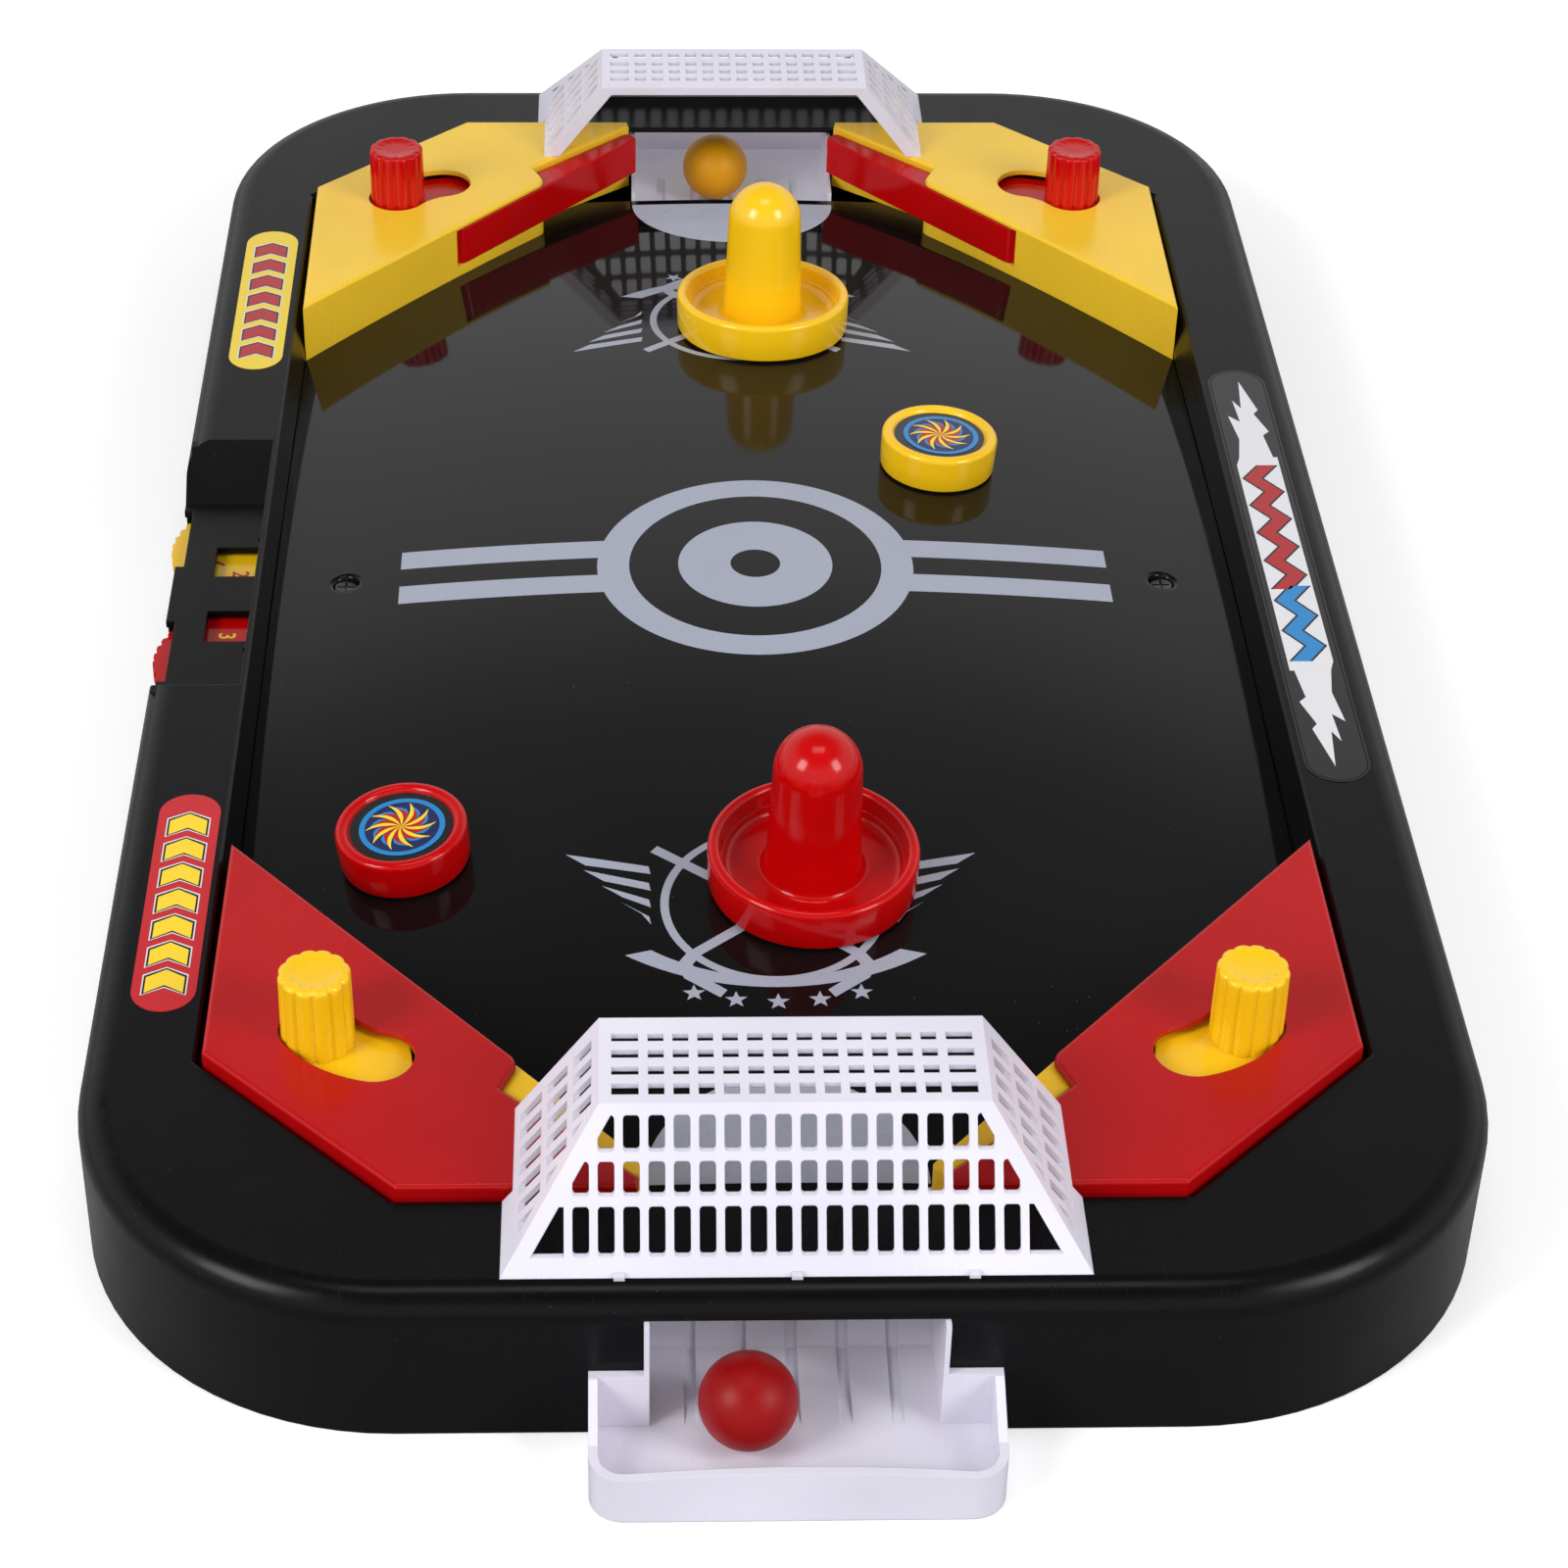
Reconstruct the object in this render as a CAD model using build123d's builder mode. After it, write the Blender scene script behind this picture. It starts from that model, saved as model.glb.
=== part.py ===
"""Table-top air hockey game with four hand-worked corner flippers.

Millimetres. +X is to the right, +Y runs from the red player's end to the yellow
player's end, +Z is up. The origin is at the middle of the underside.
"""
import os
from math import asin, atan2, cos, degrees, radians, sin, sqrt

from build123d import *

os.makedirs("parts", exist_ok=True)

# ---- driving dimensions ------------------------------------------------------------
# moulded top frame
BODY_X = 296.0
BODY_Y = 530.0
CORNER_R = 68.0
RIM_TOP = 36.5
EDGE_R = 6.5
WALL = 2.5
POCKET_X = 124.0  # half width of the playing pocket at the rim
POCKET_Y = 236.0
POCKET_CHAMFER = 43.0
POCKET_DRAFT = 2.0  # how far the pocket wall leans in
POCKET_FOOT = 26.0
SEAT_Z = 9.0  # ledge that carries the playfield
LEDGE_T = 2.5
LEDGE_IN = 8.0

# crowned playfield
FIELD_TOP = 34.0
CROWN_RX = 950.0
CROWN_RY = 1900.0
PLATE_X = 121.8
PLATE_Y = 219.0
PLATE_T = 2.0
PLATE_CUT = 27.6  # corner chamfer, clear of the pocket's own
FIELD_SCREW_X = 103.5

# score keeper in the left rim
DECK_Z = 25.2
DECK_T = 1.8
DECK_Y = 42.0
RAMP_Y = 56.0
DECK_IN = 125.4
WINDOW = (10.8, 13.4)
WINDOW_X = -132.5
WINDOW_Y = 14.6
WHEEL_R = 24.0
WHEEL_X = -126.2
WHEEL_Y = 25.0
WHEEL_Z = 19.2
WHEEL_T = 3.3
WHEEL_TEETH = 44
AXLE_R = 1.5
WHEEL_SLOT = (18.6, 23.4)

# corner housings and flippers, given for the near left corner
HOUSING_TOP = 39.4
HOUSING_T = 1.5
HOUSING_WALL = 2.6
TIP_A = (-121.9, -121.42)
SIDE_B = (-122.3, -193.3)
SIDE_C = (-80.0, -235.0)
GOAL_D = (-31.4, -235.0)
LOBE_Q = (-55.7, -196.7)
LOBE_R = 4.5
FACE = degrees(atan2(TIP_A[1] - LOBE_Q[1], TIP_A[0] - LOBE_Q[0])) - 180.0
BARREL_R = 4.0
PIVOT_BACK = 33.5  # pivot to lobe, along the face
BAR_Z = (26.4, 37.6)
BAR_LENGTH = 75.0
BAR_TIP_T = 4.4
NOTCH_U = 37.6
GAP = 0.5
KNOB_R = 7.9
KNOB_ARC_R = 21.4
KNOB_ANGLE = 214.8
KNOB_TOP = 55.4
SWING = 41.0
SKIRT = (151.0, 277.5, 30.3)  # start angle, end angle, radius
SKIRT_T = 1.6
SKIRT_TOP = 36.4
PEG_R = 2.0
PEG_BORE = 0.9
PEG_FOOT = BAR_Z[0] - 0.4
SCREW_HEAD_R = 2.9
HOUSING_GAP = 0.15

# goals
TUNNEL_X = 30.5
TUNNEL_TOP = 30.9
NOTCH_T = 1.2  # rim left standing over the goal
CHUTE_X = 30.2
CHUTE_WALL = 1.1
FLOOR_Z = 3.7
FLOOR_T = 1.4
RAMP_FOOT_Y = 245.0
TRAY_X = 41.2
TRAY_Y = 289.0
TRAY_LIP = 11.6  # height of the front wall
SHOULDER_TOP = 17.5
GROOVES = 5
GROOVE_PITCH = 10.4
GROOVE_W = 2.4
GROOVE_D = 0.8
GROOVE_OUT = (14.0, 22.0)  # from the ramp's foot: full depth, then run out
GROOVE_UP = 20.0  # from the ramp's foot, up the ramp
NET_BASE = (117.0, 212.0, 258.7)  # width, mouth side, outer side
NET_ROOF = (77.8, 210.4, 236.4)
NET_TOP = 62.5
NET_T = 1.3
NET_BORDER = 3.7
PITCH = 5.0
SLOT = 3.3

# loose pieces
STRIKER_R = 24.0
POST_TOP = 32.6  # where the domed end starts
PUCK_R = 15.2
PUCK_H = 10.0
PUCK_FACE = 8.7
BALL_R = 10.0
LIFT = 0.3  # running clearance over the playfield
STICKER_T = 0.15

ENDS = {"near": -1, "far": 1}
SIDES = {"left": -1, "right": 1}


# ---- helpers -------------------------------------------------------------------------
def save(part, name):
    """Label a finished piece and write its file."""
    part.label = name
    export_step(part, f"parts/{name}.step")


def crown(top, half_x, half_y, depth=40.0):
    """Solid under the crowned playing surface, curved along X and along Y."""
    centre_z = top - CROWN_RY
    reach = asin(half_y / CROWN_RY)
    drop = CROWN_RX - sqrt(CROWN_RX**2 - half_x**2)
    start = Plane((0, 0, centre_z), x_dir=(1, 0, 0), z_dir=(0, -cos(reach), sin(reach)))
    with BuildPart() as block:
        with BuildSketch(start):
            with BuildLine():
                ThreePointArc((-half_x, CROWN_RY - drop), (0, CROWN_RY), (half_x, CROWN_RY - drop))
                Polyline(
                    (half_x, CROWN_RY - drop),
                    (half_x, CROWN_RY - depth),
                    (-half_x, CROWN_RY - depth),
                    (-half_x, CROWN_RY - drop),
                )
            make_face()
        revolve(axis=Axis((0, 0, centre_z), (1, 0, 0)), revolution_arc=2 * degrees(reach))
    return block.part


def field_z(x, y):
    """Height of the playing surface."""
    return FIELD_TOP - x**2 / (2 * CROWN_RX) - y**2 / (2 * CROWN_RY)


def seat(x, y):
    """Plane that lies on the crowned surface at a point, lifted by the clearance."""
    up = Vector(x / CROWN_RX, y / CROWN_RY, 1).normalized()
    return Plane(Vector(x, y, field_z(x, y)) + up * LIFT, x_dir=(1, 0, -x / CROWN_RX), z_dir=up)


def upright(base):
    """The plane through a seat's axis, on which a turned profile is drawn."""
    return Plane(base.origin, x_dir=base.x_dir, z_dir=-base.y_dir)


def pocket_sketch(shrink):
    """Chamfered outline of the playing pocket."""
    outline = Rectangle(2 * (POCKET_X - shrink), 2 * (POCKET_Y - shrink))
    chamfer(outline.vertices(), POCKET_CHAMFER)


# ---- playfield ---------------------------------------------------------------------
with BuildPart() as playfield:
    with BuildSketch(Plane.XY.offset(SEAT_Z)):
        plate = Rectangle(2 * PLATE_X, 2 * PLATE_Y)
        chamfer(plate.vertices(), PLATE_CUT)
    extrude(amount=RIM_TOP - SEAT_Z)
    add(crown(FIELD_TOP, PLATE_X + 5, PLATE_Y + 5), mode=Mode.INTERSECT)
    add(crown(FIELD_TOP - PLATE_T, PLATE_X - PLATE_T, PLATE_Y - PLATE_T), mode=Mode.SUBTRACT)
    boss_top = field_z(FIELD_SCREW_X, 0) - PLATE_T / 2
    with BuildSketch(Plane.XY.offset(boss_top - 6)):
        with Locations((-FIELD_SCREW_X, 0), (FIELD_SCREW_X, 0)):
            Circle(5)
    extrude(amount=6)
    with Locations((-FIELD_SCREW_X, 0, boss_top), (FIELD_SCREW_X, 0, boss_top)):
        CounterBoreHole(1.6, 3.1, 1.4)
    with Locations((-PLATE_X, 0, sum(WHEEL_SLOT) / 2)):
        Box(10, 4 * WHEEL_Y + 4, WHEEL_SLOT[1] - WHEEL_SLOT[0], mode=Mode.SUBTRACT)
save(playfield.part, "playfield")

# ---- top frame ---------------------------------------------------------------------
with BuildPart() as top_frame:
    with BuildSketch():
        RectangleRounded(BODY_X, BODY_Y, CORNER_R)
    extrude(amount=RIM_TOP)
    fillet(top_frame.faces().sort_by(Axis.Z)[-1].edges(), EDGE_R)
    # hollow under the rim
    with BuildSketch():
        RectangleRounded(BODY_X - 2 * WALL, BODY_Y - 2 * WALL, CORNER_R - WALL)
    extrude(amount=RIM_TOP - EDGE_R - 0.5, mode=Mode.SUBTRACT)
    with BuildSketch(Plane.XY.offset(RIM_TOP - EDGE_R - 0.5)):
        RectangleRounded(BODY_X - 2 * EDGE_R, BODY_Y - 2 * EDGE_R, CORNER_R - EDGE_R)
    extrude(amount=EDGE_R - WALL + 0.5, mode=Mode.SUBTRACT)
    # inner skirt that becomes the wall of the playing pocket
    with BuildSketch(Plane.XY.offset(SEAT_Z - LEDGE_T)):
        pocket_sketch(-1.5)
    extrude(amount=RIM_TOP - WALL - SEAT_Z + LEDGE_T + 0.5)
    # raised floor under the score keeper
    with BuildSketch(Plane.YZ.offset(-BODY_X / 2 + WALL / 2)):
        with BuildLine():
            Polyline(
                (-RAMP_Y - DECK_T, RIM_TOP - WALL / 2),
                (-DECK_Y - DECK_T, DECK_Z - DECK_T),
                (DECK_Y + DECK_T, DECK_Z - DECK_T),
                (RAMP_Y + DECK_T, RIM_TOP - WALL / 2),
                close=True,
            )
        make_face()
    extrude(amount=BODY_X / 2 - WALL / 2 - DECK_IN + 1)
    # pocket
    with BuildSketch(Plane.XY.offset(RIM_TOP)):
        pocket_sketch(0)
    draft = degrees(atan2(POCKET_DRAFT, RIM_TOP - POCKET_FOOT))
    extrude(amount=-(RIM_TOP - POCKET_FOOT), taper=draft, mode=Mode.SUBTRACT)
    chamfer(top_frame.faces().sort_by(Axis.Z)[-1].inner_wires()[0].edges(), 0.6)
    with BuildSketch(Plane.XY.offset(SEAT_Z)):
        pocket_sketch(POCKET_DRAFT)
    extrude(amount=POCKET_FOOT - SEAT_Z + 0.1, mode=Mode.SUBTRACT)
    with BuildSketch(Plane.XY.offset(SEAT_Z - LEDGE_T)):
        Rectangle(2 * (PLATE_X - LEDGE_IN), 2 * (PLATE_Y - LEDGE_IN))
    extrude(amount=LEDGE_T, mode=Mode.SUBTRACT)
    # goal tunnels
    for end in ENDS.values():
        with BuildSketch(Plane.XZ.offset(-end * (PLATE_Y - LEDGE_IN - 1))):
            with Locations((0, TUNNEL_TOP / 2)):
                Rectangle(2 * TUNNEL_X, TUNNEL_TOP)
        extrude(amount=-end * 60, mode=Mode.SUBTRACT)
        with BuildSketch(Plane.XY):
            with Locations((0, end * (POCKET_Y - 2))):
                Rectangle(2 * TUNNEL_X, 20)
        extrude(amount=RIM_TOP - NOTCH_T, mode=Mode.SUBTRACT)
    # score keeper recess, ramped at both ends
    with BuildSketch(Plane.YZ.offset(-BODY_X / 2 - 1)):
        with BuildLine():
            Polyline(
                (-RAMP_Y, RIM_TOP + 0.1),
                (-DECK_Y, DECK_Z),
                (DECK_Y, DECK_Z),
                (RAMP_Y, RIM_TOP + 0.1),
                close=True,
            )
        make_face()
    extrude(amount=BODY_X / 2 + 1 - DECK_IN, mode=Mode.SUBTRACT)
    # windows, and the slots that the number wheels turn in
    for end in ENDS.values():
        with BuildSketch(Plane.XY.offset(DECK_Z)):
            with Locations((WINDOW_X, end * WINDOW_Y)):
                Rectangle(*WINDOW)
        extrude(amount=-DECK_T - 0.1, mode=Mode.SUBTRACT)
        with BuildSketch(Plane.XY.offset(WHEEL_SLOT[0])):
            with Locations((-BODY_X / 2, end * (WHEEL_Y + 0.5))):
                Rectangle(2 * 2.2, 26)
        extrude(amount=RIM_TOP - WHEEL_SLOT[0], mode=Mode.SUBTRACT)
        with BuildSketch(Plane.XY.offset(WHEEL_SLOT[0])):
            with Locations((-BODY_X / 2, end * (WHEEL_Y + 0.5))):
                Rectangle(3 * WALL, 32)
        extrude(amount=WHEEL_SLOT[1] - WHEEL_SLOT[0], mode=Mode.SUBTRACT)
    with BuildSketch(Plane.XY.offset(WHEEL_SLOT[0])):
        with Locations((-POCKET_X, 0)):
            Rectangle(9, 4 * WHEEL_Y + 4)
    extrude(amount=WHEEL_SLOT[1] - WHEEL_SLOT[0], mode=Mode.SUBTRACT)
    # posts that the number wheels turn on
    with BuildSketch(Plane.XY.offset(SEAT_Z - LEDGE_T)):
        with Locations((WHEEL_X, -WHEEL_Y), (WHEEL_X, WHEEL_Y)):
            Circle(3.6)
    extrude(amount=WHEEL_SLOT[0] - SEAT_Z + LEDGE_T + 0.3)
    with BuildSketch(Plane.XY.offset(SEAT_Z - LEDGE_T)):
        with Locations((WHEEL_X, -WHEEL_Y), (WHEEL_X, WHEEL_Y)):
            Circle(AXLE_R)
    extrude(amount=WHEEL_Z, mode=Mode.SUBTRACT)
    # keep the playfield's edge clear of the posts
    with BuildSketch(Plane.XY.offset(SEAT_Z)):
        Rectangle(2 * PLATE_X + 0.2, 2 * PLATE_Y + 0.2)
        chamfer(vertices(), PLATE_CUT)
    extrude(amount=POCKET_FOOT - SEAT_Z, mode=Mode.SUBTRACT)
save(top_frame.part, "top_frame")

# ---- base cover with its screw posts -----------------------------------------------
BASE_T = 2.2
EDGE_POSTS = [(x, y) for x in (-118.0, 118.0) for y in (-150.0, -70.0, 70.0, 150.0)]
POST_R = 4.0
with BuildPart() as base_cover:
    with BuildSketch():
        RectangleRounded(BODY_X - 2 * WALL - 0.4, BODY_Y - 2 * WALL - 0.4, CORNER_R - WALL - 0.2)
    extrude(amount=BASE_T)
    with BuildSketch(Plane.XY.offset(BASE_T)):
        with Locations(*EDGE_POSTS):
            Circle(POST_R)
    extrude(amount=SEAT_Z - LEDGE_T - BASE_T)
    with BuildSketch(Plane.XY.offset(BASE_T)):
        with Locations((-FIELD_SCREW_X, 0), (FIELD_SCREW_X, 0)):
            Circle(POST_R)
    extrude(amount=boss_top - 6 - BASE_T)
    # stiffening ribs
    with BuildSketch(Plane.XY.offset(BASE_T)):
        with GridLocations(0, 100, 1, 5):
            Rectangle(200, 1.6)
        with GridLocations(100, 0, 3, 1):
            Rectangle(1.6, 400)
    extrude(amount=5)
    with Locations(*[(x, y, 0) for x, y in EDGE_POSTS]):
        CounterBoreHole(1.4, 3.2, 1.5, depth=None, mode=Mode.SUBTRACT)
save(base_cover.part, "base_cover")


def screw(plane, length, shank_r, head_r, head_t):
    """Pan-head screw pointing along the plane's normal, head behind the plane."""
    with BuildSketch(plane) as shank:
        Circle(shank_r)
    extrude(shank.sketch, amount=length)
    with BuildSketch(plane) as head:
        Circle(head_r)
    extrude(head.sketch, amount=-head_t)
    with BuildSketch(plane.offset(-head_t)) as cross:
        Rectangle(1.5 * head_r, 0.22 * head_r)
        Rectangle(0.22 * head_r, 1.5 * head_r)
    extrude(cross.sketch, amount=0.5 * head_t, mode=Mode.SUBTRACT)


with BuildPart() as base_screws:
    for x, y in EDGE_POSTS:
        screw(Plane((x, y, 1.5), z_dir=(0, 0, 1)), 4.5, 1.4, 3.0, 1.3)
save(base_screws.part, "base_screws")

with BuildPart() as playfield_screws:
    for x in (-FIELD_SCREW_X, FIELD_SCREW_X):
        screw(Plane((x, 0, boss_top - 1.4), z_dir=(0, 0, -1)), 4.5, 1.5, 2.8, 1.2)
save(playfield_screws.part, "playfield_screws")

# ---- corner housings and flippers --------------------------------------------------
ALONG = Vector(cos(radians(FACE)), sin(radians(FACE)), 0)
OUT = Vector(-ALONG.Y, ALONG.X, 0)
PIVOT = Vector(*LOBE_Q, 0) - ALONG * PIVOT_BACK - OUT * BARREL_R
BAR_PLANE = Plane(PIVOT, x_dir=ALONG, z_dir=(0, 0, 1))
NOTCH_N = BAR_PLANE.from_local_coords(Vector(NOTCH_U, -BARREL_R - GAP - 0.1, 0))
TIP_D = BAR_PLANE.from_local_coords(Vector(BAR_LENGTH + 1.5, BARREL_R - BAR_TIP_T - GAP, 0))
KNOB = PIVOT + Vector(cos(radians(KNOB_ANGLE)), sin(radians(KNOB_ANGLE)), 0) * KNOB_ARC_R


def housing_sketch(inset=0.0):
    """Plan outline of the near left corner housing."""
    lobe = Vector(*LOBE_Q, 0)
    outline = Polygon(
        TIP_A, SIDE_B, SIDE_C, GOAL_D, (TIP_D.X, TIP_D.Y), (NOTCH_N.X, NOTCH_N.Y), LOBE_Q, align=None
    )
    fillet(outline.vertices().sort_by_distance(lobe)[0], LOBE_R)
    if inset:
        offset(amount=-inset, mode=Mode.REPLACE)


HOUSING_FOOT = 12.0
with BuildPart() as pocket_space:
    with BuildSketch(Plane.XY.offset(HOUSING_TOP)):
        pocket_sketch(HOUSING_GAP - (HOUSING_TOP - RIM_TOP) * POCKET_DRAFT / (RIM_TOP - POCKET_FOOT))
    extrude(amount=-(HOUSING_TOP - POCKET_FOOT), taper=draft)
    with BuildSketch(Plane.XY.offset(HOUSING_FOOT)):
        pocket_sketch(POCKET_DRAFT + HOUSING_GAP)
    extrude(amount=POCKET_FOOT - HOUSING_FOOT + 0.1)

with BuildPart() as housing:
    with BuildSketch(Plane.XY.offset(HOUSING_FOOT)):
        housing_sketch()
    extrude(amount=HOUSING_TOP - HOUSING_FOOT)
    fillet(housing.faces().sort_by(Axis.Z)[-1].edges(), 1.0)
    # hollow inside, with the peg that the flipper turns on left standing
    with BuildSketch(Plane.XY.offset(HOUSING_FOOT)):
        housing_sketch(HOUSING_WALL)
    extrude(amount=PEG_FOOT - HOUSING_FOOT, mode=Mode.SUBTRACT)
    with BuildSketch(Plane.XY.offset(PEG_FOOT)):
        housing_sketch(HOUSING_WALL)
        with Locations((PIVOT.X, PIVOT.Y)):
            Circle(PEG_R, mode=Mode.SUBTRACT)
            Circle(PEG_BORE)
    extrude(amount=HOUSING_TOP - HOUSING_T - PEG_FOOT, mode=Mode.SUBTRACT)
    with BuildSketch(Plane.XY.offset(HOUSING_FOOT)):
        with Locations((PIVOT.X, PIVOT.Y)):
            Circle(SCREW_HEAD_R + 0.2)
    extrude(amount=PEG_FOOT - HOUSING_FOOT, mode=Mode.SUBTRACT)
    # slot for the bar, in the slanting face
    with BuildSketch(Plane(PIVOT + Vector(0, 0, BAR_Z[0] - 0.3), x_dir=ALONG, z_dir=(0, 0, 1))):
        Polygon(
            (-BARREL_R - GAP, -BARREL_R - GAP),
            (-BARREL_R - GAP, BARREL_R + 2),
            (BAR_LENGTH, BARREL_R + 2),
            (NOTCH_U + 0.5, -BARREL_R - GAP),
            align=None,
        )
        Circle(PEG_R, mode=Mode.SUBTRACT)
    extrude(amount=HOUSING_TOP - HOUSING_T - BAR_Z[0] + 0.3, mode=Mode.SUBTRACT)
    # curved slot that the knob runs in
    with BuildSketch(Plane.XY.offset(HOUSING_TOP - HOUSING_T)):
        path = CenterArc(
            (PIVOT.X, PIVOT.Y), KNOB_ARC_R, KNOB_ANGLE - 0.8, SWING + 1.6, mode=Mode.PRIVATE
        )
        SlotArc(path, 2 * KNOB_R + 0.7)
    extrude(amount=HOUSING_T, mode=Mode.SUBTRACT)
    add(crown(FIELD_TOP, BODY_X / 2, BODY_Y / 2), mode=Mode.SUBTRACT)
    add(pocket_space.part, mode=Mode.INTERSECT)

with BuildPart() as flipper:
    with BuildSketch(Plane(PIVOT + Vector(0, 0, BAR_Z[0]), x_dir=ALONG, z_dir=(0, 0, 1))):
        with BuildLine():
            Polyline(
                (0, -BARREL_R),
                (NOTCH_U - 2, -BARREL_R),
                (BAR_LENGTH, BARREL_R - BAR_TIP_T),
                (BAR_LENGTH, BARREL_R),
                (0, BARREL_R),
                close=True,
            )
        make_face()
        Circle(BARREL_R)
        fillet(vertices().filter_by_position(Axis.X, BAR_LENGTH - 0.1, BAR_LENGTH + 0.1), 1.4)
    extrude(amount=BAR_Z[1] - BAR_Z[0])
    fillet(flipper.edges().filter_by_position(Axis.Z, BAR_Z[1] - 0.01, BAR_Z[1] + 0.01), 0.5)
    with BuildSketch(Plane(PIVOT + Vector(0, 0, SKIRT_TOP - SKIRT_T), z_dir=(0, 0, 1))):
        start, stop, reach = SKIRT
        with BuildLine():
            rim = CenterArc((0, 0), reach, start, stop - start)
            Line(rim @ 1, (0, 0))
            Line((0, 0), rim @ 0)
        make_face()
    extrude(amount=SKIRT_T)
    with BuildSketch(Plane.XY.offset(BAR_Z[0])):
        with Locations((PIVOT.X, PIVOT.Y)):
            Circle(PEG_R + 0.06)
    extrude(amount=BAR_Z[1] - BAR_Z[0], mode=Mode.SUBTRACT)

FLUTES = 12
KNOB_BASE = Plane(KNOB + Vector(0, 0, SKIRT_TOP), z_dir=(0, 0, 1))
with BuildPart() as knob:
    with BuildSketch(Plane(KNOB_BASE.origin, x_dir=(1, 0, 0), z_dir=(0, -1, 0))):
        height = KNOB_TOP - SKIRT_TOP
        with BuildLine():
            Polyline(
                (0, height - 0.5),
                (0, 0),
                (KNOB_R, 0),
                (KNOB_R - 0.3, height - 1.2),
                (KNOB_R - 1.3, height),
                (0, height - 0.5),
            )
        make_face()
    revolve(axis=Axis(KNOB_BASE.origin, (0, 0, 1)))
    with BuildSketch(KNOB_BASE):
        with PolarLocations(KNOB_R + 2.0, FLUTES):
            Circle(2.5)
    extrude(amount=KNOB_TOP - SKIRT_TOP, mode=Mode.SUBTRACT)

with BuildPart() as flipper_screw:
    screw(Plane((PIVOT.X, PIVOT.Y, PEG_FOOT), z_dir=(0, 0, 1)), 8, PEG_BORE, SCREW_HEAD_R, 1.5)

MIRRORS = {
    ("near", "left"): [],
    ("near", "right"): [Plane.YZ],
    ("far", "left"): [Plane.XZ],
    ("far", "right"): [Plane.YZ, Plane.XZ],
}


def place(part, planes):
    """Mirror a near left piece into another corner."""
    for plane in planes:
        part = mirror(part, about=plane, mode=Mode.PRIVATE)
    return part


for (end, side), planes in MIRRORS.items():
    save(place(housing.part, planes), f"housing_{end}_{side}")
    save(place(flipper.part, planes), f"flipper_{end}_{side}")
    save(place(knob.part, planes), f"knob_{end}_{side}")
with BuildPart() as flipper_screws:
    for planes in MIRRORS.values():
        add(place(flipper_screw.part, planes))
save(flipper_screws.part, "flipper_screws")

# ---- goal nets ---------------------------------------------------------------------
NET_H = NET_TOP - RIM_TOP


def net_block(inset, top, width_trim):
    """Frustum of the net, shrunk by a wall thickness."""
    rise = (top - RIM_TOP) / NET_H
    base_w, base_in, base_out = NET_BASE
    roof_w, roof_in, roof_out = NET_ROOF
    sections = []
    for z, k in ((RIM_TOP, 0.0), (top, rise)):
        width = base_w + (roof_w - base_w) * k - 2 * width_trim
        low = base_in + (roof_in - base_in) * k + inset
        high = base_out + (roof_out - base_out) * k - inset
        with BuildSketch(Plane.XY.offset(z)) as section:
            with Locations((0, (low + high) / 2)):
                Rectangle(width, high - low)
        sections.append(section.sketch)
    loft(sections, ruled=True, mode=Mode.SUBTRACT if inset else Mode.ADD)


def net_half_width(z, border):
    """Half width of the net's slanting side at a height, less a border."""
    share = (z - RIM_TOP) / NET_H
    return (NET_BASE[0] + (NET_ROOF[0] - NET_BASE[0]) * share) / 2 - border


def slot_row(z_low, z_high, columns, end_width):
    """One row of upright slots, cut off along the slanting frame."""
    height = z_high - z_low
    with GridLocations(PITCH, 0, columns, 1):
        RectangleRounded(SLOT, height, 0.7)
    if end_width:
        for side in SIDES.values():
            inner = PITCH * columns / 2 + (PITCH - SLOT) / 2
            with Locations((side * (inner + end_width / 2), 0)):
                Rectangle(end_width, height)
    low = net_half_width(z_low, NET_BORDER)
    high = net_half_width(z_high, NET_BORDER)
    Polygon(
        (-low, -height / 2), (low, -height / 2), (high, height / 2), (-high, height / 2),
        align=None, mode=Mode.INTERSECT,
    )


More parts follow.
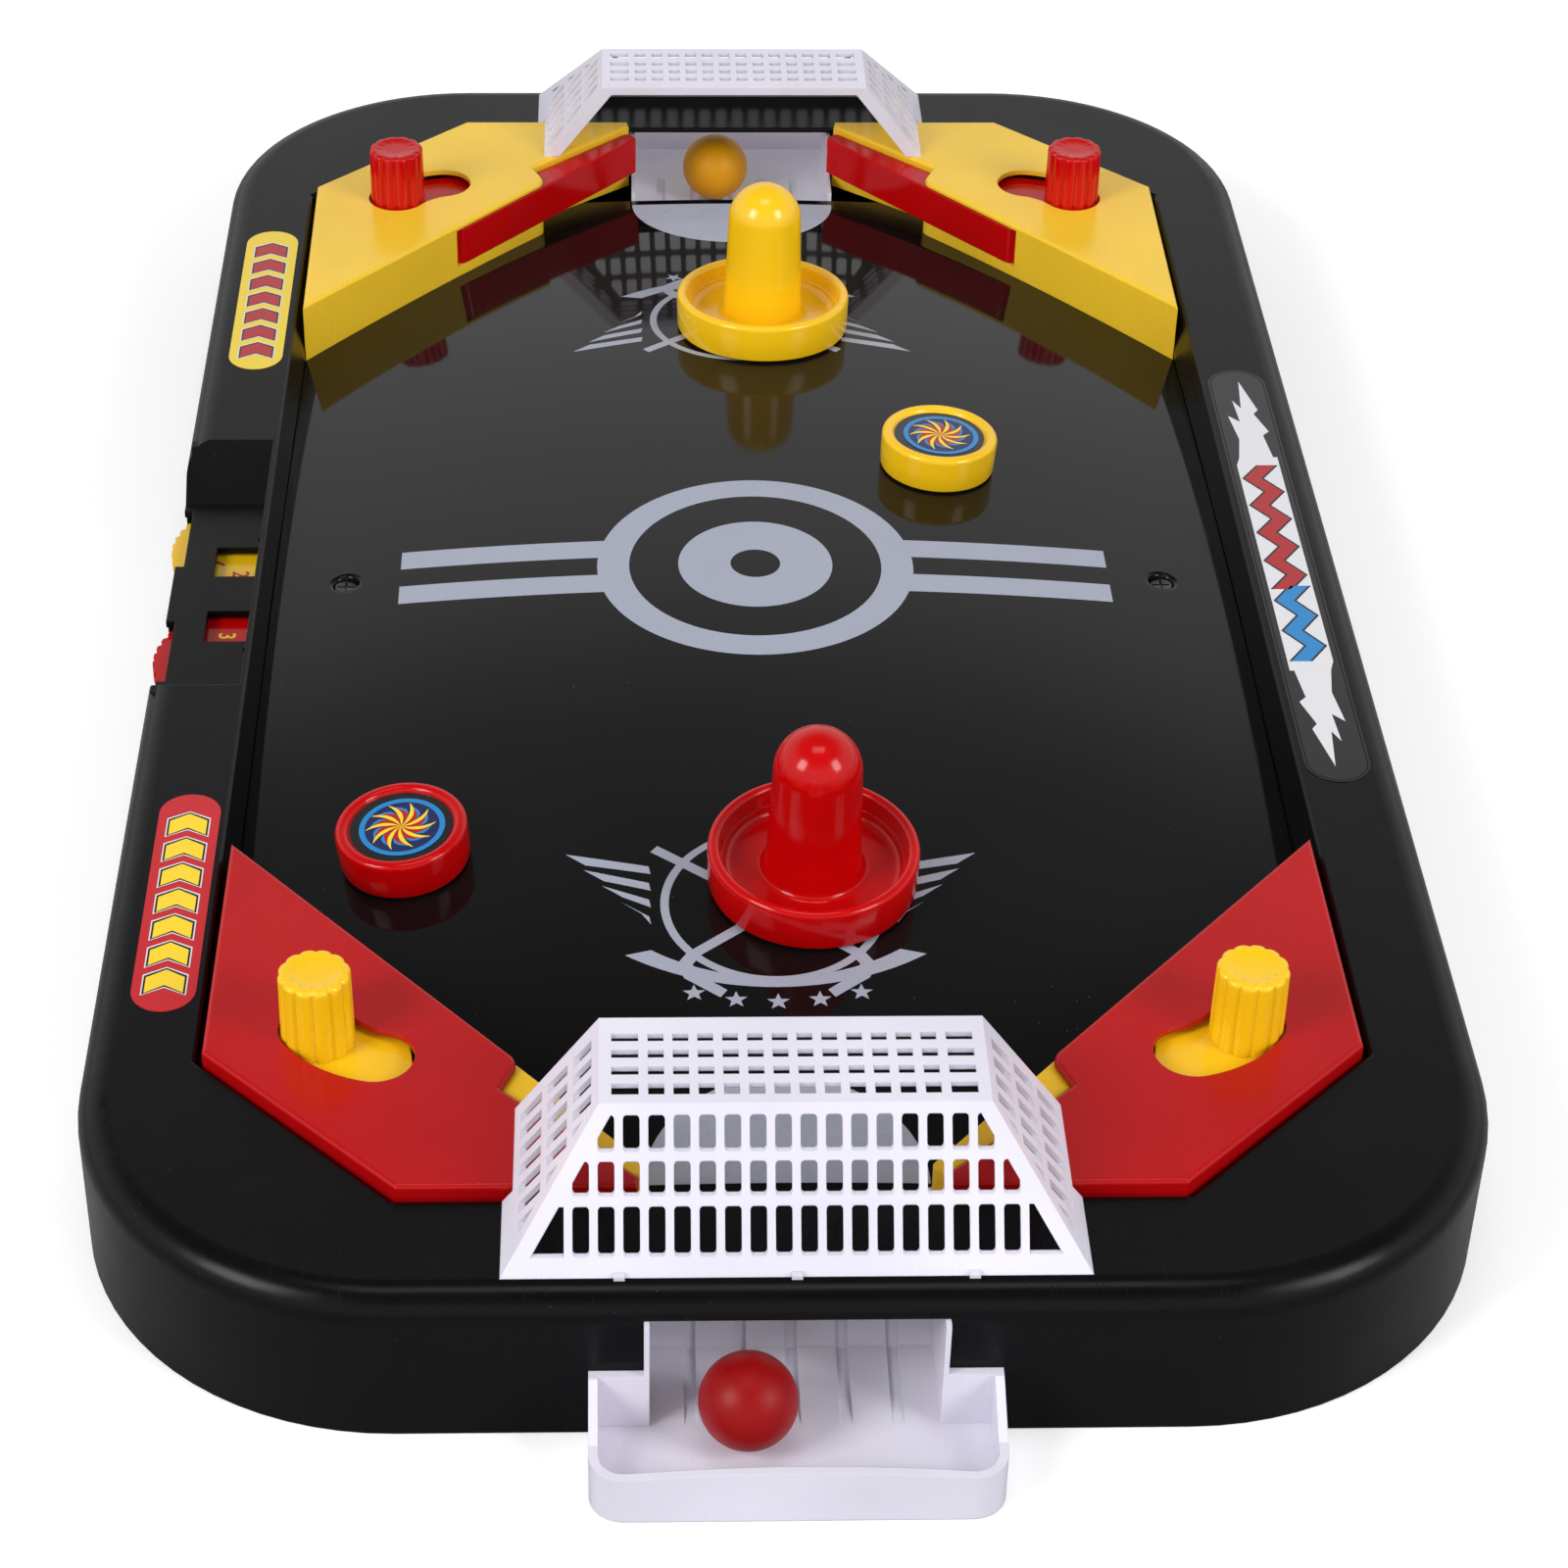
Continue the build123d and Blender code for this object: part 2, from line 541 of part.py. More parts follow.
OUTER_ROWS = [(39.6, 47.1, 18, 7.0), (48.6, 53.8, 18, 0.0), (55.2, 60.7, 16, 0.0)]
ROOF_ROWS = [(6.1, 2.3), (11.1, 2.4), (16.2, 2.4), (21.7, 3.3)]
SIDE_ROWS = [(41.0, 46.9), (48.5, 53.9), (55.5, 60.4)]
SIDE_PITCH = 5.4
SIDE_SLOT = 2.9
MOUTH_BEAM = 2.4
with BuildPart() as goal_net:
    net_block(0.0, NET_TOP, 0.0)
    net_block(NET_T, NET_TOP - NET_T, NET_T * 1.16)
    # mouth
    with BuildSketch(Plane.XZ.offset(-NET_BASE[1] + 5)):
        mouth_low = net_half_width(RIM_TOP, 1.25 * NET_BORDER)
        mouth_high = net_half_width(NET_TOP - MOUTH_BEAM, 1.25 * NET_BORDER)
        Polygon(
            (-mouth_low, RIM_TOP), (mouth_low, RIM_TOP),
            (mouth_high, NET_TOP - MOUTH_BEAM), (-mouth_high, NET_TOP - MOUTH_BEAM),
            align=None,
        )
    extrude(amount=-20, mode=Mode.SUBTRACT)
    # outer panel
    for z_low, z_high, columns, end_width in OUTER_ROWS:
        middle = (0, NET_BASE[2] + 5, (z_low + z_high) / 2)
        with BuildSketch(Plane(middle, x_dir=(1, 0, 0), z_dir=(0, -1, 0))):
            slot_row(z_low, z_high, columns, end_width)
        extrude(amount=32, mode=Mode.SUBTRACT)
    # roof
    with BuildSketch(Plane.XY.offset(NET_TOP)):
        for y, depth in ROOF_ROWS:
            with Locations((0, NET_ROOF[1] + y)):
                with GridLocations(PITCH, 0, 12, 1):
                    Rectangle(SLOT - 0.1, depth)
                with GridLocations(67.4, 0, 2, 1):
                    Rectangle(5.4, depth)
    extrude(amount=-NET_T - 0.5, mode=Mode.SUBTRACT)
    # sides
    with BuildSketch(Plane.YZ.offset(-NET_BASE[0])):
        for z_low, z_high in SIDE_ROWS:
            with Locations(((NET_BASE[1] + NET_BASE[2]) / 2, (z_low + z_high) / 2)):
                with GridLocations(SIDE_PITCH, 0, 8, 1):
                    Rectangle(SIDE_SLOT, z_high - z_low)
        Polygon(
            (NET_BASE[1] + NET_BORDER, RIM_TOP), (NET_BASE[2] - NET_BORDER, RIM_TOP),
            (NET_ROOF[2] - NET_BORDER, NET_TOP), (NET_ROOF[1] + NET_BORDER, NET_TOP),
            align=None, mode=Mode.INTERSECT,
        )
    extrude(amount=2 * NET_BASE[0], mode=Mode.SUBTRACT)
    # feet sit on the housings, the rest on the rim
    with Locations((0, POCKET_Y - 50 + 0.5, HOUSING_TOP - 10)):
        Box(2 * NET_BASE[0], 100, 20, mode=Mode.SUBTRACT)
    # snap tabs along the outer edge
    with Locations(*[(x, NET_BASE[2] + 0.1, RIM_TOP + 0.5) for x in (-35, 0, 35)]):
        Box(2.2, 1.4, 1.0)

for name, end in ENDS.items():
    save(place(goal_net.part, [] if end > 0 else [Plane.XZ]), f"goal_net_{name}")

# ---- ball chutes with their catch trays --------------------------------------------
with BuildPart() as ball_tray:
    # chute: ramp and floor
    slope = (field_z(0, PLATE_Y) - 1 - FLOOR_Z) / (RAMP_FOOT_Y - PLATE_Y)
    ramp_top = field_z(0, PLATE_Y) - 1
    with BuildSketch(Plane.YZ.offset(-CHUTE_X)):
        with BuildLine():
            Polyline(
                (PLATE_Y + 0.2, ramp_top),
                (RAMP_FOOT_Y, FLOOR_Z),
                (BODY_Y / 2 + 1, FLOOR_Z),
                (BODY_Y / 2 + 1, FLOOR_Z - FLOOR_T),
                (RAMP_FOOT_Y - 0.6, FLOOR_Z - FLOOR_T),
                (PLATE_Y + 0.2, ramp_top - 1.9),
                close=True,
            )
        make_face()
    extrude(amount=2 * CHUTE_X)
    # chute cheeks, low beside the flipper tips
    for side in SIDES.values():
        inner = side * (CHUTE_X - CHUTE_WALL)
        with BuildSketch(Plane.YZ.offset(min(inner, side * CHUTE_X))):
            with BuildLine():
                Polyline(
                    (PLATE_Y + 0.2, ramp_top - 1.9),
                    (PLATE_Y + 0.2, ramp_top + 3.0),
                    (232.5, ramp_top + 3.0),
                    (232.5, RIM_TOP - WALL - 0.1),
                    (BODY_Y / 2 - EDGE_R - 0.5, RIM_TOP - WALL - 0.1),
                    (BODY_Y / 2 - EDGE_R - 0.5, TUNNEL_TOP - 0.3),
                    (BODY_Y / 2 + 1, TUNNEL_TOP - 0.3),
                    (BODY_Y / 2 + 1, FLOOR_Z - FLOOR_T),
                    (RAMP_FOOT_Y - 0.6, FLOOR_Z - FLOOR_T),
                    close=True,
                )
            make_face()
        extrude(amount=CHUTE_WALL)
    # shoulders against the end of the body
    with BuildSketch(Plane.XZ.offset(-BODY_Y / 2 - 0.1)):
        with Locations((0, SHOULDER_TOP / 2)):
            Rectangle(2 * TRAY_X, SHOULDER_TOP)
        with Locations((0, TUNNEL_TOP / 2)):
            Rectangle(2 * CHUTE_X, TUNNEL_TOP - 0.6)
    extrude(amount=-1.8)
    # catch tray
    with BuildSketch() as tray_plan:
        with BuildLine():
            left = Line((-TRAY_X, BODY_Y / 2 + 0.1), (-TRAY_X, TRAY_Y - 7))
            RadiusArc(left @ 1, (-TRAY_X + 7, TRAY_Y), 7)
            front = ThreePointArc((-TRAY_X + 7, TRAY_Y), (0, TRAY_Y - 1.6), (TRAY_X - 7, TRAY_Y))
            RadiusArc(front @ 1, (TRAY_X, TRAY_Y - 7), 7)
            Polyline((TRAY_X, TRAY_Y - 7), (TRAY_X, BODY_Y / 2 + 0.1), (-TRAY_X, BODY_Y / 2 + 0.1))
        make_face()
    extrude(amount=SHOULDER_TOP)
    # inside of the tray and the way in from the tunnel
    with BuildSketch(Plane.XY.offset(FLOOR_Z)):
        add(tray_plan.sketch)
        offset(amount=-1.9, mode=Mode.REPLACE)
    extrude(amount=SHOULDER_TOP, mode=Mode.SUBTRACT)
    with BuildSketch(Plane.XZ.offset(-BODY_Y / 2)):
        with Locations((0, FLOOR_Z + TUNNEL_TOP / 2)):
            Rectangle(2 * (CHUTE_X - CHUTE_WALL), TUNNEL_TOP)
    extrude(amount=-4, mode=Mode.SUBTRACT)
    # hollow underside
    with BuildSketch():
        add(tray_plan.sketch)
        offset(amount=-1.9, mode=Mode.REPLACE)
    extrude(amount=FLOOR_Z - FLOOR_T, mode=Mode.SUBTRACT)
    # side walls fall towards the lip
    with BuildSketch(Plane.YZ.offset(-TRAY_X - 1)):
        with BuildLine():
            Polyline(
                (BODY_Y / 2 + 2.4, SHOULDER_TOP),
                (TRAY_Y - 9, TRAY_LIP + 0.4),
                (TRAY_Y - 4, TRAY_LIP),
                (TRAY_Y + 1, TRAY_LIP),
                (TRAY_Y + 1, SHOULDER_TOP + 1),
                (BODY_Y / 2 + 2.4, SHOULDER_TOP + 1),
                close=True,
            )
        make_face()
    extrude(amount=2 * TRAY_X + 2, mode=Mode.SUBTRACT)
    # grooves that steer the ball, running out in the tray
    for k in range(-(GROOVES // 2), GROOVES // 2 + 1):
        with BuildSketch(Plane.YZ.offset(k * GROOVE_PITCH - GROOVE_W / 2)):
            with BuildLine():
                Polyline(
                    (RAMP_FOOT_Y + GROOVE_OUT[1], FLOOR_Z),
                    (RAMP_FOOT_Y + GROOVE_OUT[0], FLOOR_Z - GROOVE_D),
                    (RAMP_FOOT_Y, FLOOR_Z - GROOVE_D),
                    (RAMP_FOOT_Y - GROOVE_UP, FLOOR_Z - GROOVE_D + GROOVE_UP * slope),
                    (RAMP_FOOT_Y - GROOVE_UP, FLOOR_Z + 2 + GROOVE_UP * slope),
                    (RAMP_FOOT_Y, FLOOR_Z + 2),
                    (RAMP_FOOT_Y + GROOVE_OUT[1], FLOOR_Z + 2),
                    close=True,
                )
            make_face()
        extrude(amount=GROOVE_W, mode=Mode.SUBTRACT)

for name, end in ENDS.items():
    save(place(ball_tray.part, [] if end > 0 else [Plane.XZ]), f"ball_tray_{name}")

# ---- score wheels ------------------------------------------------------------------
for colour, end in (("red", -1), ("yellow", 1)):
    with BuildPart() as wheel:
        with BuildSketch(Plane.XY.offset(WHEEL_Z)):
            with Locations((WHEEL_X, end * WHEEL_Y)):
                Circle(WHEEL_R)
                Circle(AXLE_R + 0.06, mode=Mode.SUBTRACT)
                with PolarLocations(WHEEL_R + 0.35, WHEEL_TEETH):
                    Circle(1.1, mode=Mode.SUBTRACT)
        extrude(amount=WHEEL_T)
    save(wheel.part, f"score_wheel_{colour}")

with BuildPart() as score_wheel_screws:
    for end in ENDS.values():
        over_wheel = Plane((WHEEL_X, end * WHEEL_Y, WHEEL_Z + WHEEL_T + 0.1), z_dir=(0, 0, -1))
        screw(over_wheel, 9, AXLE_R, 3.0, 0.7)
save(score_wheel_screws.part, "score_wheel_screws")


# ---- strikers, pucks and balls -----------------------------------------------------
def striker(base):
    """Hand mallet: a shallow cup with a domed post, hollow underneath."""
    with BuildPart() as body:
        with BuildSketch(upright(base)):
            with BuildLine():
                foot = Line((21.6, 0), (22.8, 0))
                ThreePointArc(foot @ 1, (23.5, 0.3), (23.8, 1.0))
                Line((23.8, 1.0), (STRIKER_R, 9.2))
                ThreePointArc((STRIKER_R, 9.2), (22.6, 10.5), (21.2, 9.2))
                Line((21.2, 9.2), (20.4, 5.4))
                ThreePointArc((20.4, 5.4), (19.8, 4.2), (18.5, 3.7))
                Line((18.5, 3.7), (12.0, 3.7))
                ThreePointArc((12.0, 3.7), (11.15, 4.05), (10.8, 4.9))
                Line((10.8, 4.9), (10.0, POST_TOP))
                dome = CenterArc((0, POST_TOP), 10.0, 0, 90)
                core = CenterArc((0, POST_TOP), 8.2, 0, 90)
                Line(dome @ 1, core @ 1)
                Polyline(core @ 0, (9.0, 1.9), (21.6, 1.9), (21.6, 0))
            make_face()
        revolve(axis=Axis(base.origin, base.z_dir))
    return body.part


def puck(base):
    """Flat ring puck with a shallow recess for its label."""
    with BuildPart() as body:
        with BuildSketch(upright(base)):
            with BuildLine():
                Line((12.4, 0), (14.2, 0))
                ThreePointArc((14.2, 0), (14.75, 0.25), (15.0, 0.8))
                Line((15.0, 0.8), (PUCK_R, PUCK_H - 1.4))
                ThreePointArc((PUCK_R, PUCK_H - 1.4), (14.75, PUCK_H - 0.35), (13.7, PUCK_H))
                ThreePointArc((13.7, PUCK_H), (12.7, PUCK_H - 0.3), (12.1, PUCK_FACE))
                Polyline((12.1, PUCK_FACE), (0, PUCK_FACE), (0, 6.9), (12.4, 6.9), (12.4, 0))
            make_face()
        revolve(axis=Axis(base.origin, base.z_dir))
    return body.part


def puck_label(base):
    """Round label in the puck's recess."""
    with BuildPart() as body:
        with BuildSketch(base.offset(PUCK_FACE)):
            Circle(11.8)
        extrude(amount=STICKER_T)
    return body.part


STRIKER_SPOTS = {"red": (9.0, -124.5), "yellow": (6.0, 128.0)}
PUCK_SPOTS = {"red": (-83.5, -111.3), "yellow": (49.4, 49.7)}
BALL_SPOTS = {"red": (-9.6, -270.2), "yellow": (-4.1, 254.9)}
for colour in ("red", "yellow"):
    save(striker(seat(*STRIKER_SPOTS[colour])), f"striker_{colour}")
    save(puck(seat(*PUCK_SPOTS[colour])), f"puck_{colour}")
    save(puck_label(seat(*PUCK_SPOTS[colour])), f"puck_label_{colour}")
    with BuildPart() as ball:
        with Locations((*BALL_SPOTS[colour], FLOOR_Z + BALL_R + LIFT)):
            Sphere(BALL_R)
    save(ball.part, f"ball_{colour}")

# ---- stickers on the rim -----------------------------------------------------------
STICKERS = {
    "sticker_score_red": (-132.6, -138.5, 14.0, 77.0),
    "sticker_score_yellow": (-133.4, 131.5, 14.6, 78.0),
    "sticker_side_flash": (133.4, -3.0, 15.6, 188.0),
}
for name, (x, y, width, length) in STICKERS.items():
    with BuildPart() as sticker:
        with BuildSketch(Plane.XY.offset(RIM_TOP)):
            with Locations((x, y)):
                SlotOverall(length, width, rotation=90)
        extrude(amount=STICKER_T)
    save(sticker.part, name)
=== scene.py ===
"""Looks of the table-top air hockey game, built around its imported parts.

Metres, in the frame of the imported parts: +X to the right, +Y from the red player's end to
the yellow player's end, +Z up. Outlines of prints and profiles are given in millimetres.
"""
import math

import bmesh
import bpy
from mathutils import Matrix, Vector
from mathutils.geometry import delaunay_2d_cdt


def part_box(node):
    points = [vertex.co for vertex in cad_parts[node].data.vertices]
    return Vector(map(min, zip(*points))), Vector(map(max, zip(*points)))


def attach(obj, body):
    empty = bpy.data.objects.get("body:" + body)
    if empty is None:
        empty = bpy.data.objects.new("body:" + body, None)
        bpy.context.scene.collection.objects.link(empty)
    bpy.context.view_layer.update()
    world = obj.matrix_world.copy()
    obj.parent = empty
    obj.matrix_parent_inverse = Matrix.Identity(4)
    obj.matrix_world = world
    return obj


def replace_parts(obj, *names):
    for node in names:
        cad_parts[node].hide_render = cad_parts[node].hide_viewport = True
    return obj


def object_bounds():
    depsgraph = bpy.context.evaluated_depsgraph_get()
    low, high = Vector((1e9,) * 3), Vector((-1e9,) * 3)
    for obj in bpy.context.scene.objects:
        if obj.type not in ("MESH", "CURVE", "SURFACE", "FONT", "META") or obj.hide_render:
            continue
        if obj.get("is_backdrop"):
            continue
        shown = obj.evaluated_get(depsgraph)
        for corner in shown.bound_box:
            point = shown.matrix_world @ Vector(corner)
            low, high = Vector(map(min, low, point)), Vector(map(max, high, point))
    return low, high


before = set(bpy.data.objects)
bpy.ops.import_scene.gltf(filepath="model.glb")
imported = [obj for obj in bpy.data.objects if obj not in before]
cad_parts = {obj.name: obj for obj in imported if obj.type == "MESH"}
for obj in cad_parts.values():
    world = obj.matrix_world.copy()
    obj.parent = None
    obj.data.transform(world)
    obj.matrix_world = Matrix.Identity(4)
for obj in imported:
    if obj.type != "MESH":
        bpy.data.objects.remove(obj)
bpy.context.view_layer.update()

MM = 0.001
TABLE = "table"
CROWN_RX = 0.950
CROWN_RY = 1.900
FIELD_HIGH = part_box("playfield")[1]
SIDES = ("left", "right")
ENDS = ("near", "far")


# ---- colours and shaders -------------------------------------------------------------
def srgb(red, green, blue):
    """Linear colour of an 8-bit screen colour."""
    values = []
    for channel in (red, green, blue):
        share = channel / 255
        values.append(share / 12.92 if share <= 0.04045 else ((share + 0.055) / 1.055) ** 2.4)
    return (*values, 1.0)


def tint(colour, factor):
    """The same colour, lighter or darker."""
    return tuple(min(1.0, c * factor) for c in colour[:3]) + (1.0,)


class Finish:
    """A material under construction, with short calls for its nodes."""

    def __init__(self, name):
        self.material = bpy.data.materials.new(name)
        self.material.use_nodes = True
        self.tree = self.material.node_tree
        self.shader = self.tree.nodes["Principled BSDF"]
        self.place = self.node("ShaderNodeTexCoord").outputs["Object"]

    def node(self, kind, **settings):
        made = self.tree.nodes.new(kind)
        for name, value in settings.items():
            setattr(made, name, value)
        return made

    def link(self, source, target):
        self.tree.links.new(source, target)

    def noise(self, scale, detail=2.0, stretch=(1.0, 1.0, 1.0), turn=0.0):
        """Noise with that many cells to the metre."""
        spread = self.node("ShaderNodeMapping")
        spread.inputs["Scale"].default_value = stretch
        spread.inputs["Rotation"].default_value = (0.0, 0.0, turn)
        made = self.node("ShaderNodeTexNoise")
        made.inputs["Scale"].default_value = scale
        made.inputs["Detail"].default_value = detail
        self.link(self.place, spread.inputs["Vector"])
        self.link(spread.outputs["Vector"], made.inputs["Vector"])
        return made.outputs["Fac"]

    def between(self, source, low, high, to_low=0.0, to_high=1.0):
        """Map a value's range onto another."""
        made = self.node("ShaderNodeMapRange")
        names = ("From Min", "From Max", "To Min", "To Max")
        for name, value in zip(names, (low, high, to_low, to_high)):
            made.inputs[name].default_value = value
        self.link(source, made.inputs["Value"])
        return made.outputs["Result"]

    def math(self, operation, first, second):
        made = self.node("ShaderNodeMath", operation=operation)
        for socket, value in zip(made.inputs, (first, second)):
            if isinstance(value, float):
                socket.default_value = value
            else:
                self.link(value, socket)
        return made.outputs["Value"]

    def mix(self, share, first, second):
        """Mix two colours, each a constant or a socket."""
        made = self.node("ShaderNodeMix", data_type="RGBA")
        self.link(share, made.inputs["Factor"])
        for name, value in (("A", first), ("B", second)):
            socket = [s for s in made.inputs if s.name == name and s.type == "RGBA"][0]
            if isinstance(value, tuple):
                socket.default_value = value
            else:
                self.link(value, socket)
        return [s for s in made.outputs if s.type == "RGBA"][0]

    def specks(self, scale, size):
        """Small scattered dots, 1 on a dot."""
        cells = self.node("ShaderNodeTexVoronoi")
        cells.inputs["Scale"].default_value = scale
        self.link(self.place, cells.inputs["Vector"])
        dots = self.between(cells.outputs["Distance"], size, size * 0.6)
        some = self.between(self.noise(scale * 0.11), 0.56, 0.62)
        return self.math("MULTIPLY", dots, some)

    def scratches(self, turn):
        """Fine hairlines in one direction, 1 on a line."""
        lines = self.noise(60.0, detail=1.0, stretch=(55.0, 1.2, 1.0), turn=turn)
        patches = self.between(self.noise(22.0), 0.5, 0.62)
        return self.math("MULTIPLY", self.between(lines, 0.66, 0.70), patches)

    def bump(self, *layers, edge=0.0):
        """Surface relief from (height socket, depth in mm), and rounded edges of a radius in mm."""
        normal = None
        if edge:
            rounded = self.node("ShaderNodeBevel", samples=4)
            rounded.inputs["Radius"].default_value = edge * MM
            normal = rounded.outputs["Normal"]
        for height, depth in layers:
            relief = self.node("ShaderNodeBump")
            relief.inputs["Strength"].default_value = 1.0
            relief.inputs["Distance"].default_value = depth * MM
            self.link(height, relief.inputs["Height"])
            if normal is not None:
                self.link(normal, relief.inputs["Normal"])
            normal = relief.outputs["Normal"]
        self.link(normal, self.shader.inputs["Normal"])


DUST = srgb(200, 198, 196)
PLASTIC_IOR = 1.49
GLOW_SPREAD = (1.0, 0.5, 0.25)  # how far red, green and blue light travel inside, relative to the depth
GLOW_DEPTH = 1.2  # in mm
SHEET_IOR = 1.5
SHEET_SHEEN = 0.21


def moulded(name, colour, roughness, grain=0.004, peel=0.02, edge=0.35, glow=0.0, dust=0.25, sheen=0.5):
    """Injection-moulded plastic: slight colour drift, grain, orange peel, dust and hairlines.

    Grain, peel and edge are relief depths and the edge radius in mm; glow is the share of light
    that goes into the plastic, dust the strength of the specks, and sheen the specular level.
    """
    finish = Finish(name)
    shader = finish.shader
    drift = finish.between(finish.noise(21.0, detail=3.0), 0.3, 0.7)
    body = finish.mix(drift, tint(colour, 0.93), tint(colour, 1.05))
    dusty = finish.math("MULTIPLY", finish.specks(420.0, 0.055), dust)
    finish.link(finish.mix(dusty, body, DUST), shader.inputs["Base Color"])
    smear = finish.between(finish.noise(38.0, detail=4.0), 0.3, 0.75, roughness * 0.82, roughness * 1.2)
    lines = finish.math("MULTIPLY", finish.scratches(0.5), 0.12)
    finish.link(finish.math("ADD", smear, lines), shader.inputs["Roughness"])
    finish.bump((finish.noise(3200.0), grain), (finish.noise(190.0), peel), edge=edge)
    shader.inputs["IOR"].default_value = PLASTIC_IOR
    shader.inputs["Specular IOR Level"].default_value = sheen
    if glow:
        shader.inputs["Subsurface Weight"].default_value = glow
        shader.inputs["Subsurface Radius"].default_value = GLOW_SPREAD
        shader.inputs["Subsurface Scale"].default_value = GLOW_DEPTH * MM
    return finish.material


def polished_plate():
    """Mirror-gloss black sheet with fine hairlines and dust."""
    finish = Finish("polished_black")
    shader = finish.shader
    drift = finish.between(finish.noise(9.0), 0.3, 0.7)
    body = finish.mix(drift, srgb(11, 11, 12), srgb(16, 16, 17))
    dusty = finish.math("MULTIPLY", finish.specks(300.0, 0.05), 0.35)
    finish.link(finish.mix(dusty, body, srgb(150, 150, 152)), shader.inputs["Base Color"])
    crossed = finish.math("ADD", finish.scratches(0.3), finish.scratches(-0.9))
    smear = finish.between(finish.noise(14.0, detail=4.0), 0.35, 0.7, 0.035, 0.085)
    lines = finish.math("MULTIPLY", crossed, 0.1)
    finish.link(finish.math("ADD", smear, lines), shader.inputs["Roughness"])
    finish.bump((finish.noise(55.0, detail=1.0), 0.012), (finish.noise(900.0), 0.0006))
    shader.inputs["IOR"].default_value = SHEET_IOR
    shader.inputs["Specular IOR Level"].default_value = SHEET_SHEEN
    return finish.material


def ink(name, colour, roughness=0.22, wear=0.12):
    """Screen-printed colour with a faint speckle where the ink is thin."""
    finish = Finish(name)
    speckle = finish.between(finish.noise(2400.0, detail=1.0), 0.52, 0.72)
    patches = finish.between(finish.noise(60.0), 0.35, 0.7)
    thin = finish.math("MULTIPLY", finish.math("MULTIPLY", speckle, patches), wear * 3)
    finish.link(finish.mix(thin, colour, tint(colour, 0.55)), finish.shader.inputs["Base Color"])
    finish.link(
        finish.between(finish.noise(90.0), 0.3, 0.7, roughness * 0.8, roughness * 1.2),
        finish.shader.inputs["Roughness"],
    )
    return finish.material


def plated(name, colour, roughness):
    """Plated steel of the small screws, brushed by the tool."""
    finish = Finish(name)
    tone = finish.between(finish.noise(1500.0, stretch=(1.0, 8.0, 1.0)), 0.3, 0.7)
    brushed = finish.mix(tone, tint(colour, 0.8), tint(colour, 1.15))
    finish.link(brushed, finish.shader.inputs["Base Color"])
    finish.link(
        finish.between(finish.noise(800.0), 0.3, 0.7, roughness * 0.7, roughness * 1.3),
        finish.shader.inputs["Roughness"],
    )
    finish.bump((finish.noise(2600.0), 0.006), edge=0.15)
    finish.shader.inputs["Metallic"].default_value = 1.0
    return finish.material


RED = srgb(182, 9, 13)
DEEP_RED = srgb(194, 4, 6)
YELLOW = srgb(248, 203, 48)
DEEP_YELLOW = srgb(252, 200, 20)
WHITE = srgb(228, 225, 238)
black_shell = moulded(
    "black_shell", srgb(7, 7, 9), 0.26, grain=0.006, peel=0.03, edge=0.6, dust=0.12, sheen=0.165
)
black_base = moulded("black_base", srgb(11, 11, 12), 0.5, grain=0.012, sheen=0.25)
field_black = polished_plate()
red_gloss = moulded("red_gloss", RED, 0.24, glow=0.04, sheen=0.3)
red_deep = moulded("red_deep", DEEP_RED, 0.15, grain=0.002, peel=0.006, glow=0.05, dust=0.1, sheen=0.3)
yellow_gloss = moulded("yellow_gloss", YELLOW, 0.24, glow=0.08, dust=0.1)
yellow_deep = moulded("yellow_deep", DEEP_YELLOW, 0.17, grain=0.002, peel=0.006, glow=0.12, dust=0.06)
white_gloss = moulded("white_gloss", WHITE, 0.22, grain=0.002, edge=0.3, glow=0.1, dust=0.05)
# Ball colours are darker than the other plastics: partly the balls' own duller plastic, partly painted
# shade for the shade they lie in.
ball_red = moulded("ball_red", srgb(152, 2, 4), 0.42, glow=0.03, sheen=0.22)
ball_yellow = moulded("ball_yellow", srgb(236, 164, 22), 0.42, glow=0.05, sheen=0.22)
dark_steel = plated("dark_steel", srgb(92, 92, 96), 0.34)
film_black = ink("film_black", srgb(18, 18, 20), 0.16, 0.02)
film_yellow = ink("film_yellow", srgb(238, 208, 52), 0.2, 0.03)
film_red = ink("film_red", srgb(196, 26, 34), 0.2, 0.03)
print_grey = ink("print_grey", srgb(163, 168, 184), 0.3)
# Crease ink: the print grey made lighter, painted light where the nets' shade falls on the creases.
crease_ink_painted_light = ink("crease_ink_painted_light", srgb(182, 188, 202), 0.3)
print_white = ink("print_white", srgb(226, 226, 230), 0.25, 0.05)
print_red = ink("print_red", srgb(176, 24, 32), 0.25, 0.05)
print_blue = ink("print_blue", srgb(28, 132, 200), 0.25, 0.05)
print_navy = ink("print_navy", srgb(18, 30, 84), 0.25, 0.05)
print_yellow = ink("print_yellow", srgb(250, 214, 40), 0.25, 0.05)


def paint(material, *nodes):
    """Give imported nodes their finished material."""
    for name in nodes:
        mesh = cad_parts[name].data
        mesh.materials.clear()
        mesh.materials.append(material)


def corners(stem, *ends):
    """Names of a corner piece at the given ends, left and right."""
    return [f"{stem}_{end}_{side}" for end in ends for side in SIDES]


paint(black_shell, "top_frame")
paint(black_base, "base_cover")
paint(red_gloss, *corners("housing", "near"))
paint(yellow_gloss, *corners("housing", "far"))
paint(yellow_deep, *corners("flipper", "near"), "score_wheel_yellow")
paint(red_deep, *corners("flipper", "far"), "score_wheel_red")
paint(white_gloss, "goal_net_near", "goal_net_far", "ball_tray_near", "ball_tray_far")
paint(dark_steel, "playfield_screws", "base_screws", "flipper_screws", "score_wheel_screws")
paint(film_black, "puck_label_red", "puck_label_yellow", "sticker_side_flash")
paint(film_yellow, "sticker_score_yellow")
paint(film_red, "sticker_score_red")


